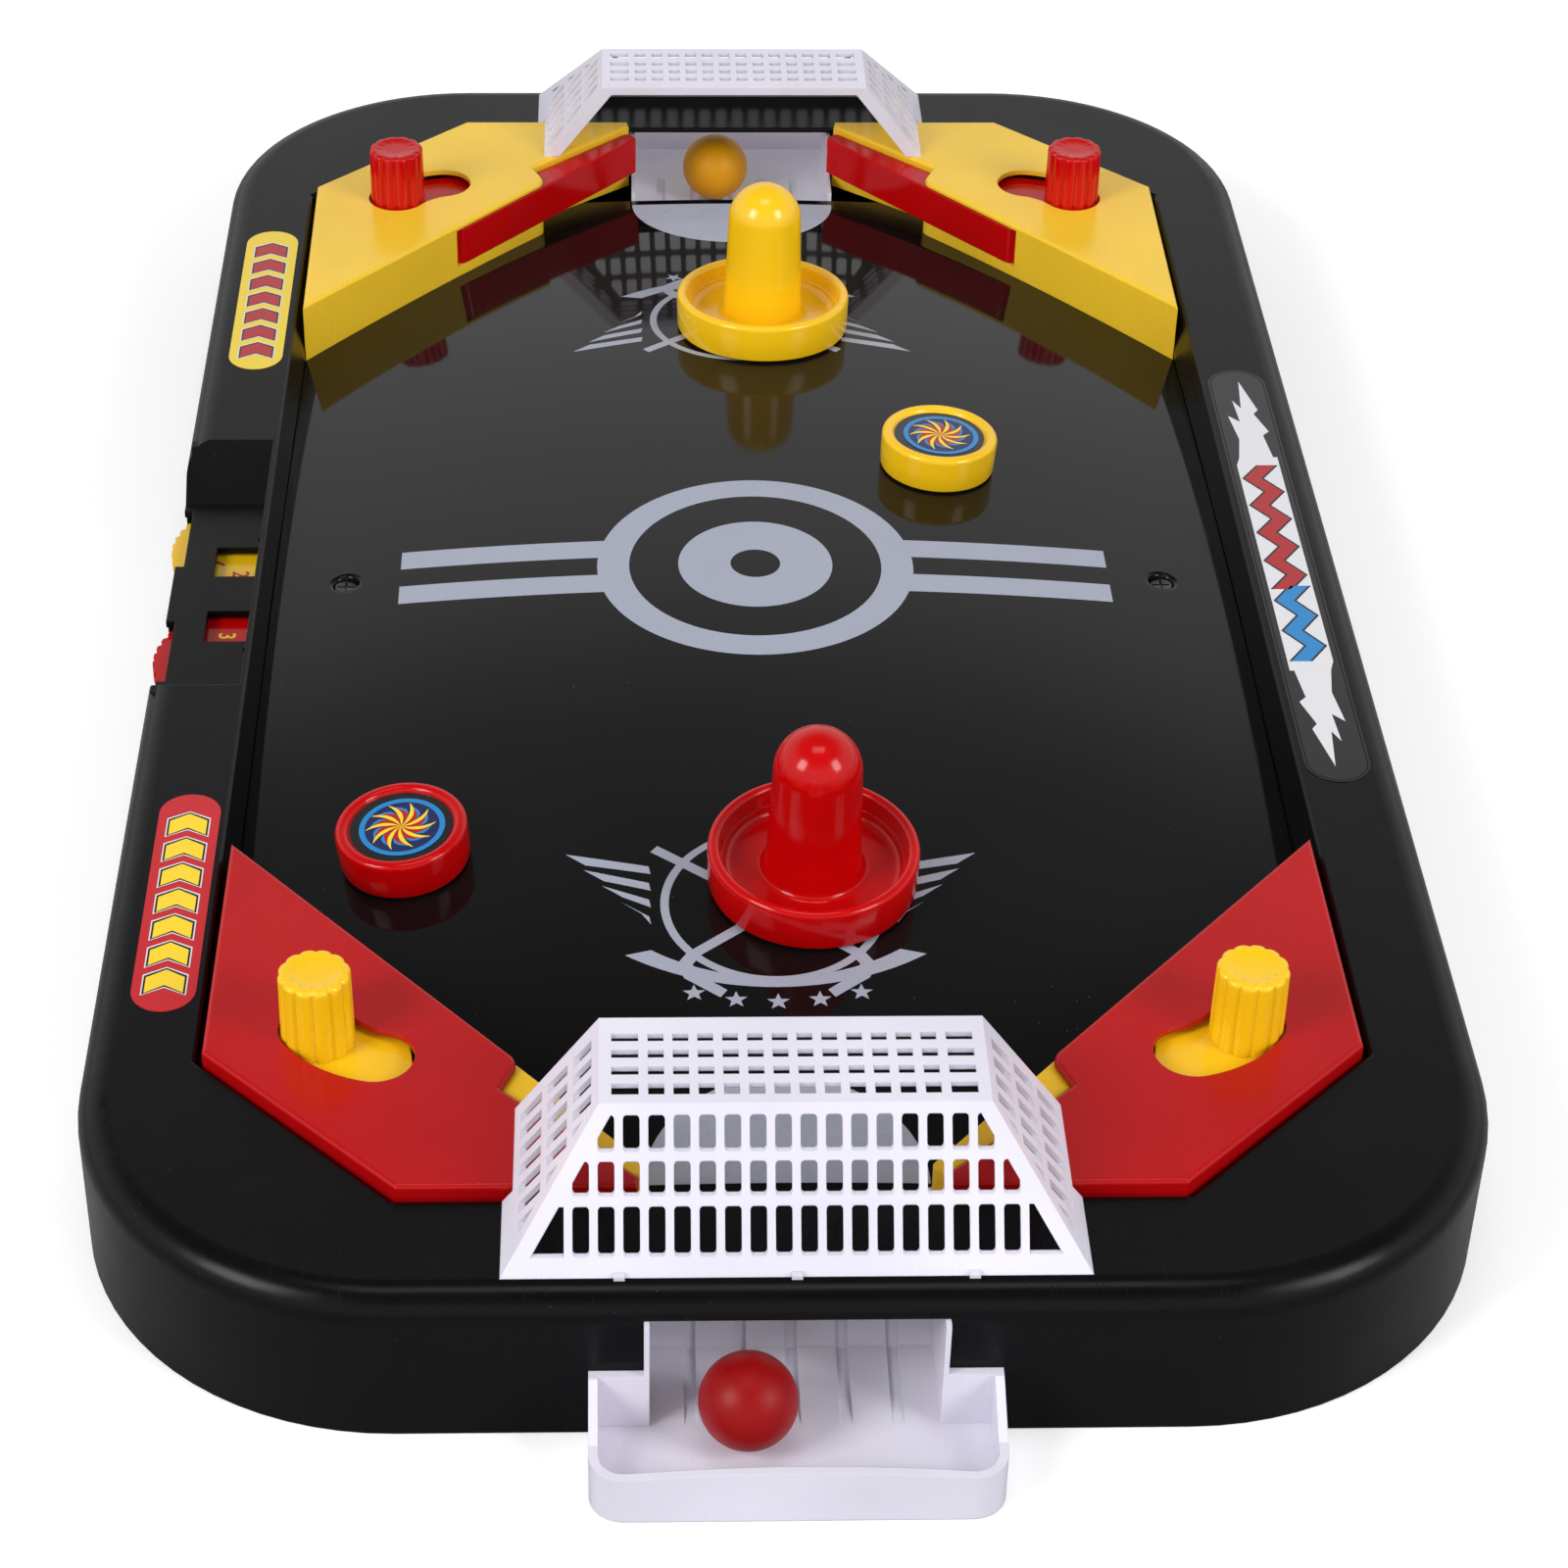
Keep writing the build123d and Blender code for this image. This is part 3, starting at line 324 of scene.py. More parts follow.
# ---- surfaces that prints lie on -----------------------------------------------------
def crown(x, y, lift=0.0):
    """Point of the crowned playing surface, lifted along its normal, and that normal."""
    side = math.sqrt(CROWN_RX**2 - x**2)
    reach = CROWN_RY - CROWN_RX + side
    fall = math.sqrt(reach**2 - y**2)
    normal = Vector((reach * x / (fall * side), y / fall, 1.0)).normalized()
    return Vector((x, y, FIELD_HIGH.z - CROWN_RY + fall)) + normal * lift, normal


def on_plane(base):
    """Surface function of a flat face, given its matrix."""

    def surface(x, y, lift):
        return base @ Vector((x, y, lift)), base.to_3x3().col[2].normalized()

    return surface


GLIDE_GAP = 0.3


def seat(node, rise):
    """Matrix of a turned piece that stands on the crown. rise is the height of its widest ring."""
    low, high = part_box(node)
    centre = (low + high) / 2
    _, normal = crown(centre.x, centre.y)
    x, y = centre.x - normal.x * rise * MM, centre.y - normal.y * rise * MM
    foot, normal = crown(x, y, GLIDE_GAP * MM)
    across = Vector((1.0, 0.0, -normal.x / normal.z)).normalized()
    base = Matrix((across, normal.cross(across), normal)).transposed().to_4x4()
    base.translation = foot
    return base


# ---- outlines, in millimetres --------------------------------------------------------
def circle(x, y, radius, count=96):
    turn = math.tau / count
    return [(x + radius * math.cos(turn * k), y + radius * math.sin(turn * k)) for k in range(count)]


def arc(x, y, radius, start, stop, count=24):
    """Points along an arc, angles in degrees."""
    angles = [math.radians(start + (stop - start) * k / count) for k in range(count + 1)]
    return [(x + radius * math.cos(a), y + radius * math.sin(a)) for a in angles]


STAR_POINTS = 5
STAR_WAIST = 0.42  # share of the radius between two points


def star(x, y, radius):
    """Star with one point up."""
    outline = []
    for k in range(2 * STAR_POINTS):
        reach = radius if k % 2 == 0 else radius * STAR_WAIST
        angle = math.pi / 2 + math.pi * k / STAR_POINTS
        outline.append((x + reach * math.cos(angle), y + reach * math.sin(angle)))
    return outline


def capsule(half_x, half_y):
    """Upright outline with round ends."""
    return arc(0, half_y - half_x, half_x, 0, 180) + arc(0, half_x - half_y, half_x, 180, 360)


def moved(outline, y=0.0, turn=0.0, flip=1.0):
    """Outline mirrored, turned by degrees and shifted along y."""
    c, s = math.cos(math.radians(turn)), math.sin(math.radians(turn))
    return [(flip * u * c - v * s, y + flip * u * s + v * c) for u, v in outline]


def densified(loop, pitch):
    """The loop with its long sides divided."""
    dense = []
    for (x0, y0), (x1, y1) in zip(loop, loop[1:] + loop[:1]):
        steps = max(1, math.ceil(math.hypot(x1 - x0, y1 - y0) / pitch))
        dense += [(x0 + (x1 - x0) * k / steps, y0 + (y1 - y0) * k / steps) for k in range(steps)]
    return dense


def inside(x, y, loops):
    """True if a point lies inside an odd number of loops."""
    odd = False
    for loop in loops:
        x0, y0 = loop[-1]
        for x1, y1 in loop:
            if (y0 > y) != (y1 > y) and x < (x1 - x0) * (y - y0) / (y1 - y0) + x0:
                odd = not odd
            x0, y0 = x1, y1
    return odd


def filled(loops, pitch):
    """Points and triangles that fill closed loops, with points at most a pitch apart."""
    loops = [densified(loop, pitch) for loop in loops]
    points, edges = [], []
    for loop in loops:
        first = len(points)
        points += [Vector(p) for p in loop]
        edges += [(first + k, first + (k + 1) % len(loop)) for k in range(len(loop))]
    low = [min(p[i] for p in points) for i in (0, 1)]
    high = [max(p[i] for p in points) for i in (0, 1)]
    for i in range(1, math.ceil((high[0] - low[0]) / pitch)):
        for j in range(1, math.ceil((high[1] - low[1]) / pitch)):
            x, y = low[0] + i * pitch, low[1] + (j + 0.5 * (i % 2)) * pitch
            if inside(x, y, loops):
                points.append(Vector((x, y)))
    points, _, faces, *_ = delaunay_2d_cdt(points, edges, [], 0, 1e-6)
    kept = []
    for face in faces:
        x, y = (sum(points[k][i] for k in face) / len(face) for i in (0, 1))
        if inside(x, y, loops):
            kept.append(face)
    return points, kept


LEVEL_STEP = 0.012  # in mm, between the inks of a print


def printed(name, layers, surface, body, pitch=4.0, lift=0.03):
    """One thin piece from layers of (level, loops, material). Each level lies just above the last."""
    vertices, normals, faces, indices, materials = [], [], [], [], []
    for level, loops, material in layers:
        if material not in materials:
            materials.append(material)
        points, triangles = filled(loops, pitch)
        first = len(vertices)
        for p in points:
            point, normal = surface(p.x * MM, p.y * MM, (lift + LEVEL_STEP * level) * MM)
            vertices.append(point)
            normals.append(normal)
        faces += [tuple(first + k for k in face) for face in triangles]
        indices += [materials.index(material)] * len(triangles)
    mesh = bpy.data.meshes.new(name)
    mesh.from_pydata(vertices, [], faces)
    for material in materials:
        mesh.materials.append(material)
    mesh.polygons.foreach_set("material_index", indices)
    mesh.polygons.foreach_set("use_smooth", [True] * len(faces))
    mesh.normals_split_custom_set_from_vertices(normals)
    return shown(name, mesh, body)


def shown(name, mesh, body):
    """Put a mesh in the scene, riding on its body."""
    made = bpy.data.objects.new(name, mesh)
    bpy.context.scene.collection.objects.link(made)
    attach(made, body)
    return made


# ---- playing surface -----------------------------------------------------------------
SHEET_X = FIELD_HIGH.x / MM
SHEET_Y = FIELD_HIGH.y / MM
SHEET_CUT = 27.6  # the cut-off corners, along each side
SHEET_T = 2.0
SHEET_PITCH = 4.0
SCREW_LOW, SCREW_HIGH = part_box("playfield_screws")
SCREW_HEAD_R = 2.8
SCREW_X = (SCREW_HIGH.x - SCREW_LOW.x) / 2 / MM - SCREW_HEAD_R
WELL_R = 3.1
WELL_DEPTH = 1.5
WELL_LIP = 1.2  # width of the slope round a well
WELL_PROFILE = ((0.0, 0.0), (0.5, 0.12), (1.0, 0.5), (1.0, WELL_DEPTH))


def field_sheet():
    """Crowned plate with turned-down edges and a round well over each screw."""
    outline = []
    for sx, sy in ((1, -1), (1, 1), (-1, 1), (-1, -1)):
        ends = [(sx * SHEET_X, sy * (SHEET_Y - SHEET_CUT)), (sx * (SHEET_X - SHEET_CUT), sy * SHEET_Y)]
        outline += ends if sx * sy > 0 else ends[::-1]
    wells = [circle(s * SCREW_X, 0, WELL_R + WELL_LIP, 48) for s in (-1, 1)]
    points, faces = filled([outline, *wells], SHEET_PITCH)
    vertices, normals = [], []
    for p in points:
        point, normal = crown(p.x * MM, p.y * MM)
        vertices.append(point)
        normals.append(normal)

    def skirt(loop, offsets):
        """Rings of points below a loop, one for each (size, drop in mm), joined by quads."""
        ring = [crown(x * MM, y * MM)[0] for x, y in loop]
        centre = sum(ring, Vector()) / len(ring)
        rows = []
        for size, drop in offsets:
            rows.append(len(vertices))
            for point in ring:
                flat = Vector((point.x - centre.x, point.y - centre.y, 0)) * size
                vertices.append(Vector((centre.x + flat.x, centre.y + flat.y, point.z - drop * MM)))
                normals.append(Vector((0, 0, 0)))
        for upper, lower in zip(rows, rows[1:]):
            for k in range(len(ring)):
                n = (k + 1) % len(ring)
                faces.append((upper + k, lower + k, lower + n, upper + n))

    skirt(densified(outline, SHEET_PITCH), [(1.0, 0.0), (1.0, SHEET_T)])
    inner = WELL_R / (WELL_R + WELL_LIP)
    for well in wells:
        skirt(well, [(1 - (1 - inner) * share, drop) for share, drop in WELL_PROFILE])
    mesh = bpy.data.meshes.new("field_sheet")
    mesh.from_pydata(vertices, [], faces)
    mesh.materials.append(field_black)
    mesh.polygons.foreach_set("use_smooth", [True] * len(faces))
    mesh.normals_split_custom_set_from_vertices(normals)
    sheet = shown("field_sheet", mesh, TABLE)
    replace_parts(sheet, "playfield")


field_sheet()

RING_R = (31.9, 40.0)
DISC_R = (6.3, 19.5)
LINE_Y = (3.9, 11.7)
LINE_END = 89.8
CREASE_Y = 215.7
CREASE_R = 30.0
EMBLEM_Y = 132.0


def emblem():
    """Crossed sticks over a roundel, with wing stripes and a ribbon."""
    groups = [(0, [circle(0, 0, 25.5), circle(0, 0, 23.6)])]
    stick = [(-1.3, 34), (1.3, 34), (1.3, -22)]
    stick += [(2.4, -25.4), (5.0, -26.4), (13.5, -24.6), (14.3, -27.2)]
    stick += [(4.6, -29.6), (0.2, -28.2), (-1.3, -24)]
    for flip in (-1, 1):
        groups.append((2 if flip > 0 else 1, [moved(stick, flip=flip, turn=-52 * flip, y=-2)]))
        for k in range(4):
            top = 13.5 - 5.6 * k
            reach = 47 - 4.2 * k
            tip = [(reach, top + 4.6), (reach - 4.6, top + 0.6)]
            stripe = [(28.0, top - 0.5), *tip, (27.6, top - 3.1)]
            groups.append((0, [moved(stripe, flip=flip)]))
    ribbon = arc(0, 22, 46, 233, 307) + arc(0, 30, 57, 306, 234)
    groups.append((3, [ribbon]))
    for k in range(-2, 3):
        groups.append((0, [star(9.2 * k, -31.5 + 0.75 * k * k, 2.6)]))
    return groups


def field_print():
    """Everything printed on the playing surface."""
    layers = [(0, [circle(0, 0, RING_R[1]), circle(0, 0, RING_R[0])], print_grey)]
    layers.append((0, [circle(0, 0, DISC_R[1]), circle(0, 0, DISC_R[0], 48)], print_grey))
    for sx in (-1, 1):
        for sy in (-1, 1):
            low, high = LINE_Y
            inner = [(sx * math.sqrt((RING_R[1] - 0.2) ** 2 - y**2), sy * y) for y in (low, high)]
            line = [inner[0], (sx * LINE_END, sy * low), (sx * LINE_END, sy * high), inner[1]]
            layers.append((1, [line], print_grey))
    for end in (-1, 1):
        # The creases get the lighter ink, painted light against the shade of the nets.
        crease = arc(0, CREASE_Y, CREASE_R, 180, 360, 48)
        layers.append((0, [[(x, -y) if end < 0 else (x, y) for x, y in crease]], crease_ink_painted_light))
        turn = 0 if end < 0 else 180
        for level, loops in emblem():
            placed = [moved(loop, y=end * EMBLEM_Y, turn=turn) for loop in loops]
            layers.append((level, placed, print_grey))
    printed("field_print", layers, crown, TABLE)


field_print()


# ---- turned pieces -------------------------------------------------------------------
def turned(name, profile, base, material, body, segments=96, relief=None):
    """Turn a closed profile of (radius, height) about the base's axis.

    relief gives the radius to use instead of a profile's radius at an angle.
    """
    vertices, faces = [], []
    count = len(profile)
    for k in range(segments):
        angle = math.tau * k / segments
        for radius, height in profile:
            reach = relief(radius, angle) if relief else radius
            point = Vector((reach * math.cos(angle), reach * math.sin(angle), height)) * MM
            vertices.append(base @ point)
    for k in range(segments):
        n = (k + 1) % segments
        for i in range(count):
            j = (i + 1) % count
            if profile[i][0] == 0 and profile[j][0] == 0:
                continue
            faces.append((k * count + i, n * count + i, n * count + j, k * count + j))
    mesh = bpy.data.meshes.new(name)
    mesh.from_pydata(vertices, [], faces)
    mesh.materials.append(material)
    made = shown(name, mesh, body)
    cleaned(mesh)
    return made


SHARP_ANGLE = 38.0


def cleaned(mesh):
    """Merge the points on the axis, face outwards and smooth all but the sharp edges."""
    work = bmesh.new()
    work.from_mesh(mesh)
    bmesh.ops.remove_doubles(work, verts=work.verts, dist=1e-6)
    bmesh.ops.dissolve_degenerate(work, edges=work.edges, dist=1e-7)
    bmesh.ops.recalc_face_normals(work, faces=work.faces)
    work.to_mesh(mesh)
    work.free()
    mesh.polygons.foreach_set("use_smooth", [True] * len(mesh.polygons))
    mesh.set_sharp_from_angle(angle=math.radians(SHARP_ANGLE))


STRIKER_RISE = 9.2
POST_R = 10.0
POST_TOP = 32.6  # where the dome begins
POST_BORE = 8.2


def striker_profile():
    """Cup with a rounded lip, a fillet round the post, and a domed top; hollow underneath."""
    outer = [(21.6, 0.0), (22.9, 0.0), (23.5, 0.3), (23.8, 1.0), (23.95, 6.0)]
    lip = arc(22.6, STRIKER_RISE, 1.4, 0, 180, 12)
    cup = [(20.7, 6.2)] + arc(18.2, 6.1, 2.3, 0, -90, 8)
    root = arc(12.9, 5.7, 1.9, 270, 182, 8)
    dome = arc(0, POST_TOP, POST_R, 0, 90, 20)
    inner = arc(0, POST_TOP, POST_BORE, 90, 0, 12)
    return outer + lip + cup + root + [(10.6, 12.0)] + dome + inner + [(9.0, 1.9), (21.6, 1.9)]


PUCK_RISE = 5.4
PUCK_FACE = 8.7
PUCK_ROOF = 6.9


def puck_profile():
    """Ring with a rounded rim and a shallow recess, hollow underneath."""
    outer = [(12.4, 0.0), (14.2, 0.0), (14.75, 0.25), (15.0, 0.8), (15.15, PUCK_RISE), (15.2, 8.3)]
    rim = arc(13.8, 8.5, 1.4, 0, 90, 8) + [(13.2, 9.95), (12.7, 9.7), (12.25, 9.2), (12.1, PUCK_FACE)]
    return outer + rim + [(0.0, PUCK_FACE), (0.0, PUCK_ROOF), (12.4, PUCK_ROOF)]


LABEL_Z = PUCK_FACE + 0.15  # top of the paper disc
LABEL_CENTRE = (0.3, -0.2)
LABEL_RING = 9.9
LABEL_INNER = 8.6
PINWHEEL_R = 8.2
PINWHEEL_ARMS = 10
PINWHEEL_BEND = 0.72  # in radians, from the centre to a tip
ARM_STEPS = 12


def pinwheel(level, full, reach, width, ink_used):
    """Curved arms, each on one side of its spoke.

    An arm is width radians wide up to the share full of the radius, and ends in a tip at reach.
    """
    arms = []
    for k in range(PINWHEEL_ARMS):
        spoke, edge = [], []
        for step in range(ARM_STEPS + 1):
            share = reach * step / ARM_STEPS
            bend = math.tau * k / PINWHEEL_ARMS + PINWHEEL_BEND * share**1.5
            taper = min(1.0, max(0.0, (reach - share) / (reach - full))) ** 0.85
            radius = PINWHEEL_R * share
            spoke.append((radius * math.cos(bend), radius * math.sin(bend)))
            side = bend + width * taper
            edge.append((radius * math.cos(side), radius * math.sin(side)))
        arms.append((level, [spoke + edge[-2:0:-1]], ink_used))
    return arms


for colour, plastic in (("red", red_deep), ("yellow", yellow_deep)):
    slot = f"{colour}_plastic"
    node = f"striker_{colour}"
    piece = turned(f"{node}_body", striker_profile(), seat(node, STRIKER_RISE), plastic, node)
    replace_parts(piece, node)
    node = f"puck_{colour}"
    base = seat(node, PUCK_RISE)
    piece = turned(f"{node}_body", puck_profile(), base, plastic, node)
    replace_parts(piece, node)
    layers = [(0, [circle(*LABEL_CENTRE, LABEL_RING)], print_blue)]
    layers.append((1, [circle(*LABEL_CENTRE, LABEL_INNER)], print_navy))
    layers += pinwheel(2, 0.74, 0.87, -0.33, print_blue)
    layers += pinwheel(3, 0.52, 0.8, -0.33, print_red)
    layers += pinwheel(4, 0.4, 1.0, 0.3, print_yellow)
    art = on_plane(base @ Matrix.Translation((0, 0, LABEL_Z * MM)))
    printed(f"puck_art_{colour}", layers, art, node, pitch=2.5, lift=0.16)


# ---- knobs ---------------------------------------------------------------------------
FLUTES = 12
FLUTE_DEPTH = 0.62
FLUTE_INNER_R = 5.5
KNOB_SEGMENTS = 144


def fluted(radius, angle):
    """Radius of the knob between and on its ribs; its top face has none."""
    if radius < FLUTE_INNER_R:
        return radius
    wave = abs(math.sin(FLUTES * angle / 2))
    return radius - FLUTE_DEPTH * (1 - wave) ** 1.6


def knob_profile(height):
    """Slightly tapered knob with a rounded shoulder and a shallow dish in its top."""
    outer = [(0.0, 0.0), (7.85, 0.0), (7.8, height * 0.5), (7.7, height - 1.7)]
    shoulder = arc(6.6, height - 1.2, 1.1, 0, 90, 6)
    dish = [(5.6, height - 0.12), (5.0, height - 0.32), (2.5, height - 0.38), (0.0, height - 0.4)]
    return outer + shoulder + dish


for end, plastic, slot in (("near", yellow_deep, "yellow_plastic"), ("far", red_deep, "red_plastic")):
    for side in SIDES:
        node = f"knob_{end}_{side}"
        low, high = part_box(node)
        base = Matrix.Translation(((low.x + high.x) / 2, (low.y + high.y) / 2, low.z))
        profile = knob_profile((high.z - low.z) / MM)
        body = f"flipper_{end}_{side}"
        piece = turned(f"{node}_cap", profile, base, plastic, body, KNOB_SEGMENTS, fluted)
        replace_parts(piece, node)


# ---- balls ---------------------------------------------------------------------------
BALL_STEPS = 48
SEAM = 0.03  # height of the moulding seam in mm, and its spread in radians


def ball_profile(radius):
    """Half outline of a ball with the fine ridge where its mould halves met."""
    outline = []
    for k in range(BALL_STEPS + 1):
        angle = math.radians(-90 + 180 * k / BALL_STEPS)
        ridge = SEAM * math.exp(-((angle / SEAM) ** 2))
        outline.append((max(0.0, (radius - SEAM + ridge) * math.cos(angle)), radius * math.sin(angle)))
    outline[0] = (0.0, -radius)
    outline[-1] = (0.0, radius)
    return outline


for colour, plastic, turn in (("red", ball_red, 0.9), ("yellow", ball_yellow, 0.5)):
    node = f"ball_{colour}"
    low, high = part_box(node)
    centre = (low + high) / 2
    base = Matrix.Translation(centre) @ Matrix.Rotation(turn, 4, "X") @ Matrix.Rotation(0.4, 4, "Y")
    profile = ball_profile((high.z - low.z) / 2 / MM)
    piece = turned(f"{node}_shell", profile, base, plastic, node)
    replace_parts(piece, node)


# ---- catch trays ---------------------------------------------------------------------
FRONT_BOW = 1.6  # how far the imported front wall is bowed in
FRONT_HALF = 34.2  # half its length, without the rounded corners
FRONT_FROM = 272.0  # where the floor starts to follow the wall
FRONT_FULL = 284.0
FRONT_TOP = 11.6  # height of the lip


def straight_tray(node):
    """Copy of a packed tray whose front wall is bowed at its lip only, and straight at its foot."""
    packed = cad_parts[node]
    mesh = packed.data.copy()
    mesh.transform(packed.matrix_world)
    for vertex in mesh.vertices:
        x, y = vertex.co.x / MM, abs(vertex.co.y) / MM
        share = min(1.0, max(0.0, (y - FRONT_FROM) / (FRONT_FULL - FRONT_FROM)))
        share *= max(0.0, 1 - vertex.co.z / MM / FRONT_TOP)
        push = FRONT_BOW * max(0.0, 1 - (x / FRONT_HALF) ** 2) * share
        vertex.co.y += math.copysign(push * MM, vertex.co.y)
    mesh.update()
    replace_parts(shown(f"{node}_shell", mesh, TABLE), node)


for end in ENDS:
    straight_tray(f"ball_tray_{end}")


# ---- films on the rim ----------------------------------------------------------------
def film_surface(node):
    """Surface of a film that lies flat, centred on its box, and its half sizes in mm."""
    low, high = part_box(node)
    base = Matrix.Translation(((low.x + high.x) / 2, (low.y + high.y) / 2, high.z))
    return on_plane(base), (high.x - low.x) / 2 / MM, (high.y - low.y) / 2 / MM


def chevron(y, reach, grow):
    """Bold chevron, grown on every side."""
    wide = reach + grow
    low, high, peak = y - 2.9 - 1.2 * grow, y + 2.3 + 1.2 * grow, 2.6
    return [(-wide, low), (0, low + peak), (wide, low), (wide, high), (0, high + peak), (-wide, high)]


CHEVRONS = 7


def score_film(node, halo, outline, fill):
    """Row of outlined chevrons along a film."""
    surface, _, half_y = film_surface(node)
    pitch = 2 * (half_y - 6.0) / CHEVRONS
    rows = [(k - (CHEVRONS - 1) / 2) * pitch - 1.6 for k in range(CHEVRONS)]
    layers = []
    for level, (grow, tone) in enumerate(((0.75, halo), (0.45, outline), (0.0, fill))):
        layers += [(level, [chevron(y, 4.2, grow)], tone) for y in rows]
    printed(node + "_art", layers, surface, TABLE, pitch=8.0, lift=0.02)


score_film("sticker_score_yellow", print_white, film_black, print_red)
score_film("sticker_score_red", print_white, film_black, print_yellow)


ZIGZAG_PITCH = 6.5


def zigzag(low, high, reach, half):
    """Thick zigzag band along a film."""
    count = round((high - low) / ZIGZAG_PITCH)
    line = [(reach if k % 2 else -reach, low + (high - low) * k / count) for k in range(count + 1)]
    return [(x + half, y) for x, y in line] + [(x - half, y) for x, y in reversed(line)]


def side_film():
    """Zigzag bands between two jagged white flashes."""
    surface, half_x, half_y = film_surface("sticker_side_flash")
    layers = []
    for end in (-1, 1):
        flash = [(-4.6, 48), (4.6, 48), (3.4, 60), (5.2, 62), (2.4, 71), (3.8, 73), (0.6, 88)]
        flash += [(-0.6, 74), (-2.4, 78), (-1.8, 67), (-4.6, 70), (-3.2, 58)]
        layers.append((0, [moved(flash, turn=0 if end > 0 else 180)], print_white))
    shaft = [(-5.6, -49.0), (4.4, -49.0), (5.6, -45.0), (5.6, 49.0), (-4.4, 49.0), (-5.6, 45.0)]
    layers.append((1, [shaft], print_white))
    for low, high, colour in ((-45, -12, print_blue), (-13.5, 45, print_red)):
        for level, half, tone in ((2, 2.9, film_black), (3, 2.2, colour)):
            layers.append((level, [zigzag(low, high, 2.3, half)], tone))
    rim = [capsule(half_x - 0.5, half_y - 0.5), capsule(half_x - 0.8, half_y - 0.8)]
    layers.append((0, rim, black_shell))
    printed("sticker_side_flash_art", layers, surface, TABLE, pitch=12.0, lift=0.02)


side_film()


# ---- digits on the number wheels -----------------------------------------------------
DIGITS = 10
DIGIT_SIZE = 6.0
DIGIT_STROKE = 0.07  # thickens the strokes
DIGIT_LIFT = 0.03


def wheel_digits(colour, ink_colour, ring_r, phase, up):
    """Digits 0 to 9 round the upper face of a number wheel.

    phase is the place of the 0 in degrees, and up is how far it is turned.
    """
    node = f"score_wheel_{colour}"
    low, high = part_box(node)
    middle = Vector(((low.x + high.x) / 2, (low.y + high.y) / 2, high.z + DIGIT_LIFT * MM))
    joined = bmesh.new()
    for digit in range(DIGITS):
        curve = bpy.data.curves.new(f"digit_{digit}", "FONT")
        curve.body = str(digit)
        curve.size = DIGIT_SIZE * MM
        curve.align_x = "CENTER"
        curve.align_y = "CENTER"
        curve.offset = DIGIT_STROKE * MM
        holder = bpy.data.objects.new(f"digit_{digit}", curve)
        bpy.context.scene.collection.objects.link(holder)
        bpy.context.view_layer.update()
        flat = bpy.data.meshes.new_from_object(holder)
        angle = math.radians(phase + 360 / DIGITS * digit)
        spot = middle + Vector((math.cos(angle), math.sin(angle), 0)) * ring_r * MM
        spin = angle - math.radians(phase) + math.radians(up)
        flat.transform(Matrix.Translation(spot) @ Matrix.Rotation(spin, 4, "Z"))
        joined.from_mesh(flat)
        bpy.data.meshes.remove(flat)
        bpy.data.objects.remove(holder)
        bpy.data.curves.remove(curve)
    mesh = bpy.data.meshes.new(f"wheel_digits_{colour}")
    joined.to_mesh(mesh)
    joined.free()
    mesh.materials.clear()
    mesh.materials.append(ink_colour)
    shown(f"wheel_digits_{colour}", mesh, node)


wheel_digits("red", print_yellow, 12.0, 16.0, -198.0)
wheel_digits("yellow", print_red, 13.3, 173.6, -162.0)


# ---- floor, light and camera ---------------------------------------------------------
FLOOR_REACH = 4.0
FLOOR_DROP = 0.3 * MM
FLOOR_SHADES = ((0.93, 0.93, 0.93, 1), (0.95, 0.95, 0.95, 1))
FLOOR_GLOW = 0.30
FLOOR_DULL = (0.42, 0.42, 0.43, 1)


def floor():
    """Plain floor, white to look at but grey to the light it throws back on the object."""
    mesh = bpy.data.meshes.new("floor")
    square = [(-1, -1), (1, -1), (1, 1), (-1, 1)]
    spots = [(x * FLOOR_REACH, y * FLOOR_REACH, -FLOOR_DROP) for x, y in square]
    mesh.from_pydata(spots, [], [(0, 1, 2, 3)])
    finish = Finish("floor_white")
    shade = finish.between(finish.noise(0.6), 0.3, 0.7)
    finish.link(finish.mix(shade, *FLOOR_SHADES), finish.shader.inputs["Base Color"])
    finish.shader.inputs["Roughness"].default_value = 0.9
    finish.shader.inputs["Specular IOR Level"].default_value = 0.1
    finish.shader.inputs["Emission Color"].default_value = (1, 1, 1, 1)
    finish.shader.inputs["Emission Strength"].default_value = FLOOR_GLOW
    dull = finish.node("ShaderNodeBsdfDiffuse")
    dull.inputs["Color"].default_value = FLOOR_DULL
    seen = finish.node("ShaderNodeLightPath")
    blend = finish.node("ShaderNodeMixShader")
    finish.link(seen.outputs["Is Camera Ray"], blend.inputs["Fac"])
    finish.link(dull.outputs["BSDF"], blend.inputs[1])
    finish.link(finish.shader.outputs["BSDF"], blend.inputs[2])
    output = [n for n in finish.material.node_tree.nodes if n.type == "OUTPUT_MATERIAL"][0]
    finish.link(blend.outputs["Shader"], output.inputs["Surface"])
    mesh.materials.append(finish.material)
    made = bpy.data.objects.new("floor", mesh)
    bpy.context.scene.collection.objects.link(made)
    made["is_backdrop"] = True


SKY_STOPS = ((0.0, 0.9), (0.52, 0.88), (0.66, 0.40), (0.80, 0.16), (1.0, 0.12))


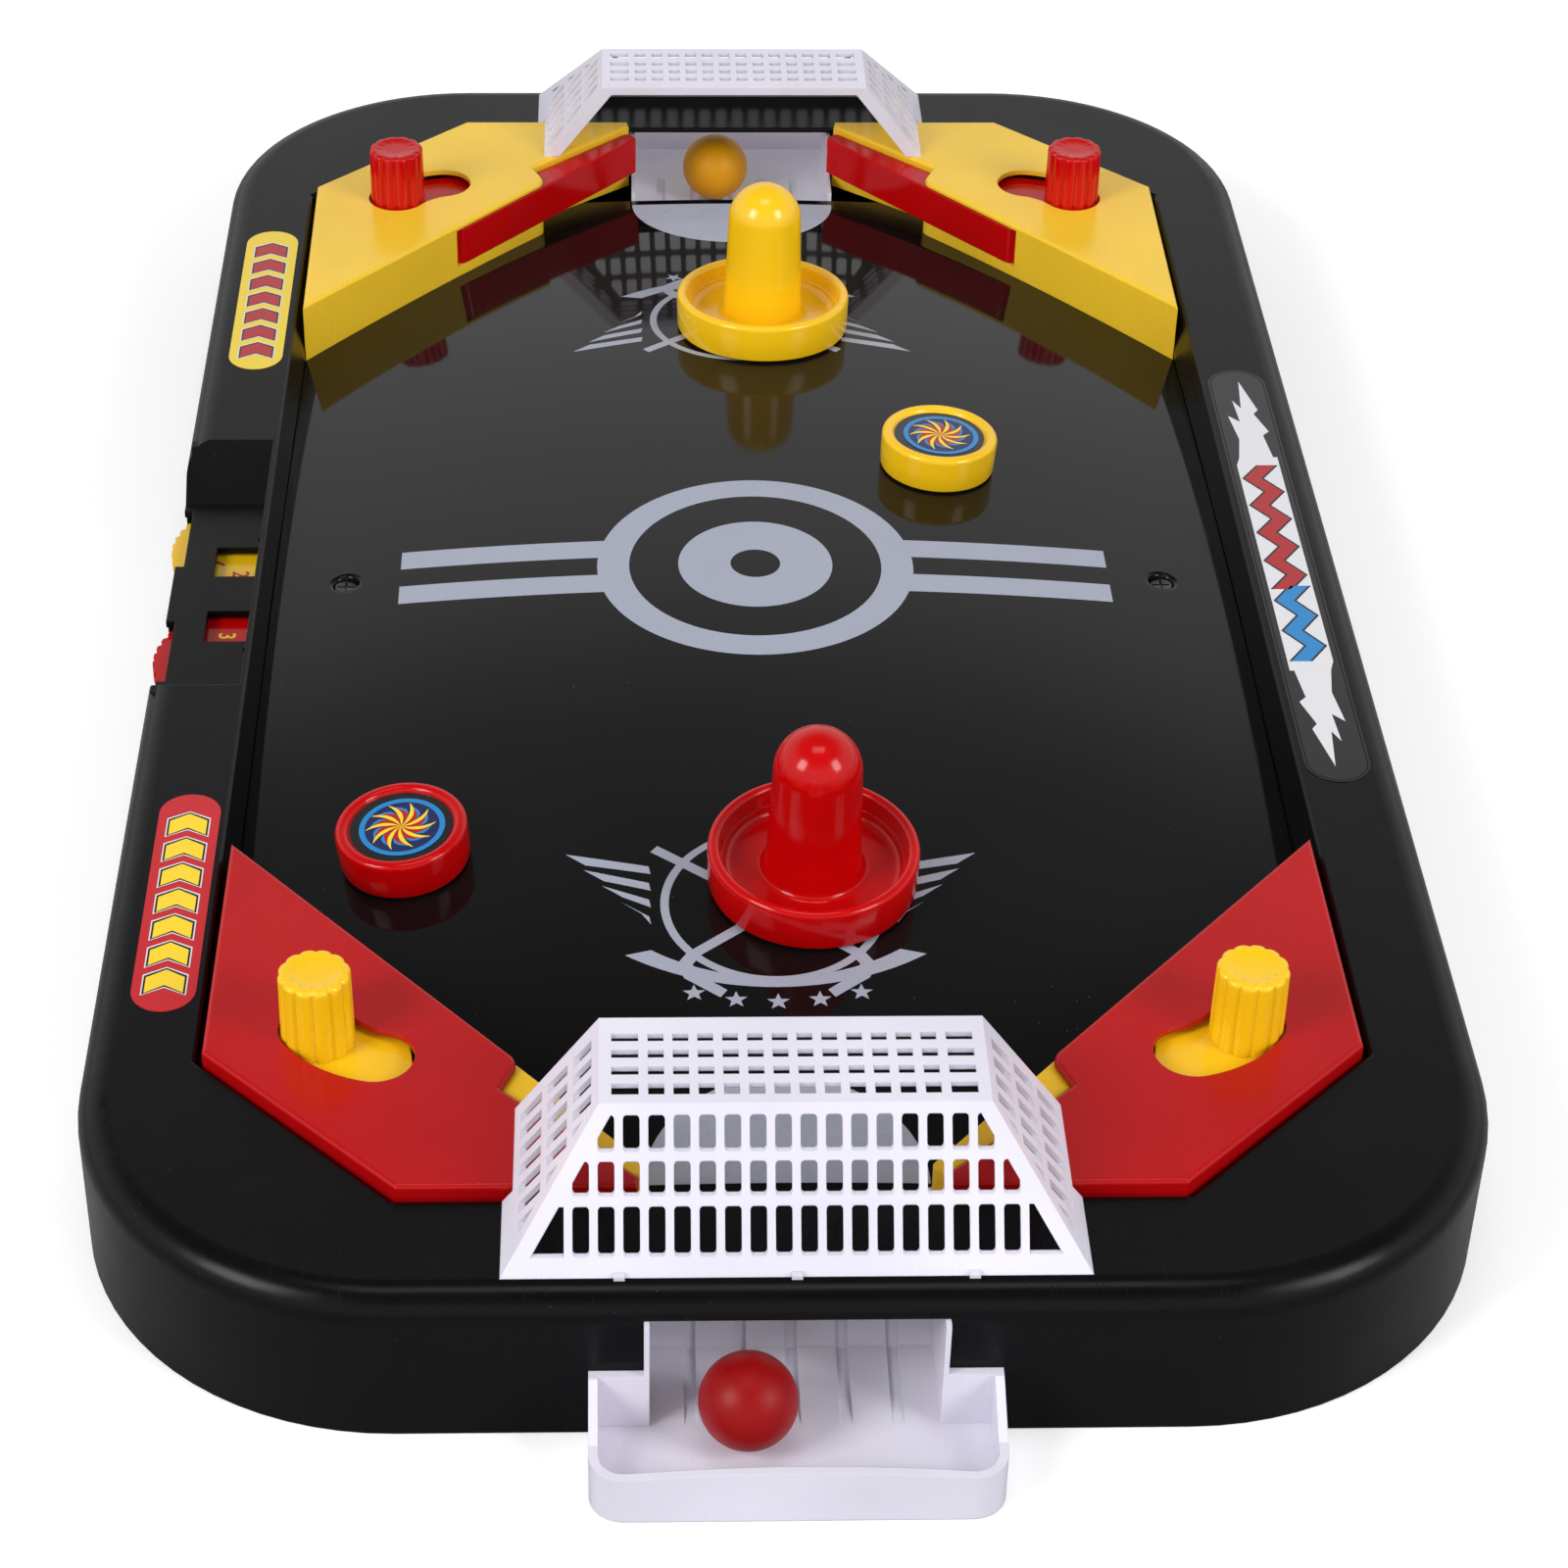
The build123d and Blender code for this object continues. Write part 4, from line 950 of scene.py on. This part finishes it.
def studio_sky():
    """White backdrop up to a height, and a dim ceiling over it."""
    world = bpy.data.worlds.new("studio")
    world.use_nodes = True
    nodes, links = world.node_tree.nodes, world.node_tree.links
    way = nodes.new("ShaderNodeTexCoord")
    split = nodes.new("ShaderNodeSeparateXYZ")
    ramp = nodes.new("ShaderNodeValToRGB")
    ramp.color_ramp.interpolation = "EASE"
    while len(ramp.color_ramp.elements) < len(SKY_STOPS):
        ramp.color_ramp.elements.new(0.5)
    for element, (place, level) in zip(ramp.color_ramp.elements, SKY_STOPS):
        element.position = place
        element.color = (level, level, level * 1.02, 1)
    links.new(way.outputs["Generated"], split.inputs["Vector"])
    links.new(split.outputs["Z"], ramp.inputs["Fac"])
    links.new(ramp.outputs["Color"], nodes["Background"].inputs["Color"])
    nodes["Background"].inputs["Strength"].default_value = 1.0
    bpy.context.scene.world = world


MIDDLE = Vector((0, 0, 0.03))


def softbox(name, place, size, watts):
    """Rectangular area light that faces the middle of the object."""
    light = bpy.data.lights.new(name, "AREA")
    light.shape = "RECTANGLE"
    light.size, light.size_y = size
    light.energy = watts
    made = bpy.data.objects.new(name, light)
    bpy.context.scene.collection.objects.link(made)
    made.location = place
    made.rotation_mode = "QUATERNION"
    made.rotation_quaternion = (MIDDLE - Vector(place)).to_track_quat("-Z", "Y")


floor()
studio_sky()
softbox("key", (-1.3, -1.0, 1.15), (0.7, 0.8), 18.5)
softbox("fill", (1.3, -1.0, 1.05), (0.6, 0.8), 14.0)
softbox("top", (0.0, -0.2, 1.9), (0.9, 0.5), 4.5)

CAMERA_PLACE = (-0.03433, -0.78234, 0.54841)
CAMERA_YAW = -0.0336
CAMERA_PITCH = 0.6416
CAMERA_ROLL = 0.0158
SENSOR_WIDTH = 36.0
FOCAL_LENGTH = 84.9
CAMERA_SHIFT = (0.0408, 0.0014)


def camera():
    """View from the red player's side, a little left of the middle."""
    ahead = Vector((
        -math.sin(CAMERA_YAW) * math.cos(CAMERA_PITCH),
        math.cos(CAMERA_YAW) * math.cos(CAMERA_PITCH),
        -math.sin(CAMERA_PITCH),
    ))
    level = Vector((math.cos(CAMERA_YAW), math.sin(CAMERA_YAW), 0))
    upward = level.cross(ahead)
    c, s = math.cos(CAMERA_ROLL), math.sin(CAMERA_ROLL)
    right = level * c + upward * s
    up = upward * c - level * s
    lens = bpy.data.cameras.new("camera")
    lens.sensor_width = SENSOR_WIDTH
    lens.lens = FOCAL_LENGTH
    lens.shift_x, lens.shift_y = CAMERA_SHIFT
    lens.clip_start = 0.01
    made = bpy.data.objects.new("camera", lens)
    bpy.context.scene.collection.objects.link(made)
    pose = Matrix((right, up, -ahead)).transposed().to_4x4()
    pose.translation = CAMERA_PLACE
    made.matrix_world = pose
    bpy.context.scene.camera = made


camera()
bpy.context.scene.view_settings.view_transform = "Standard"

low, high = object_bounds()
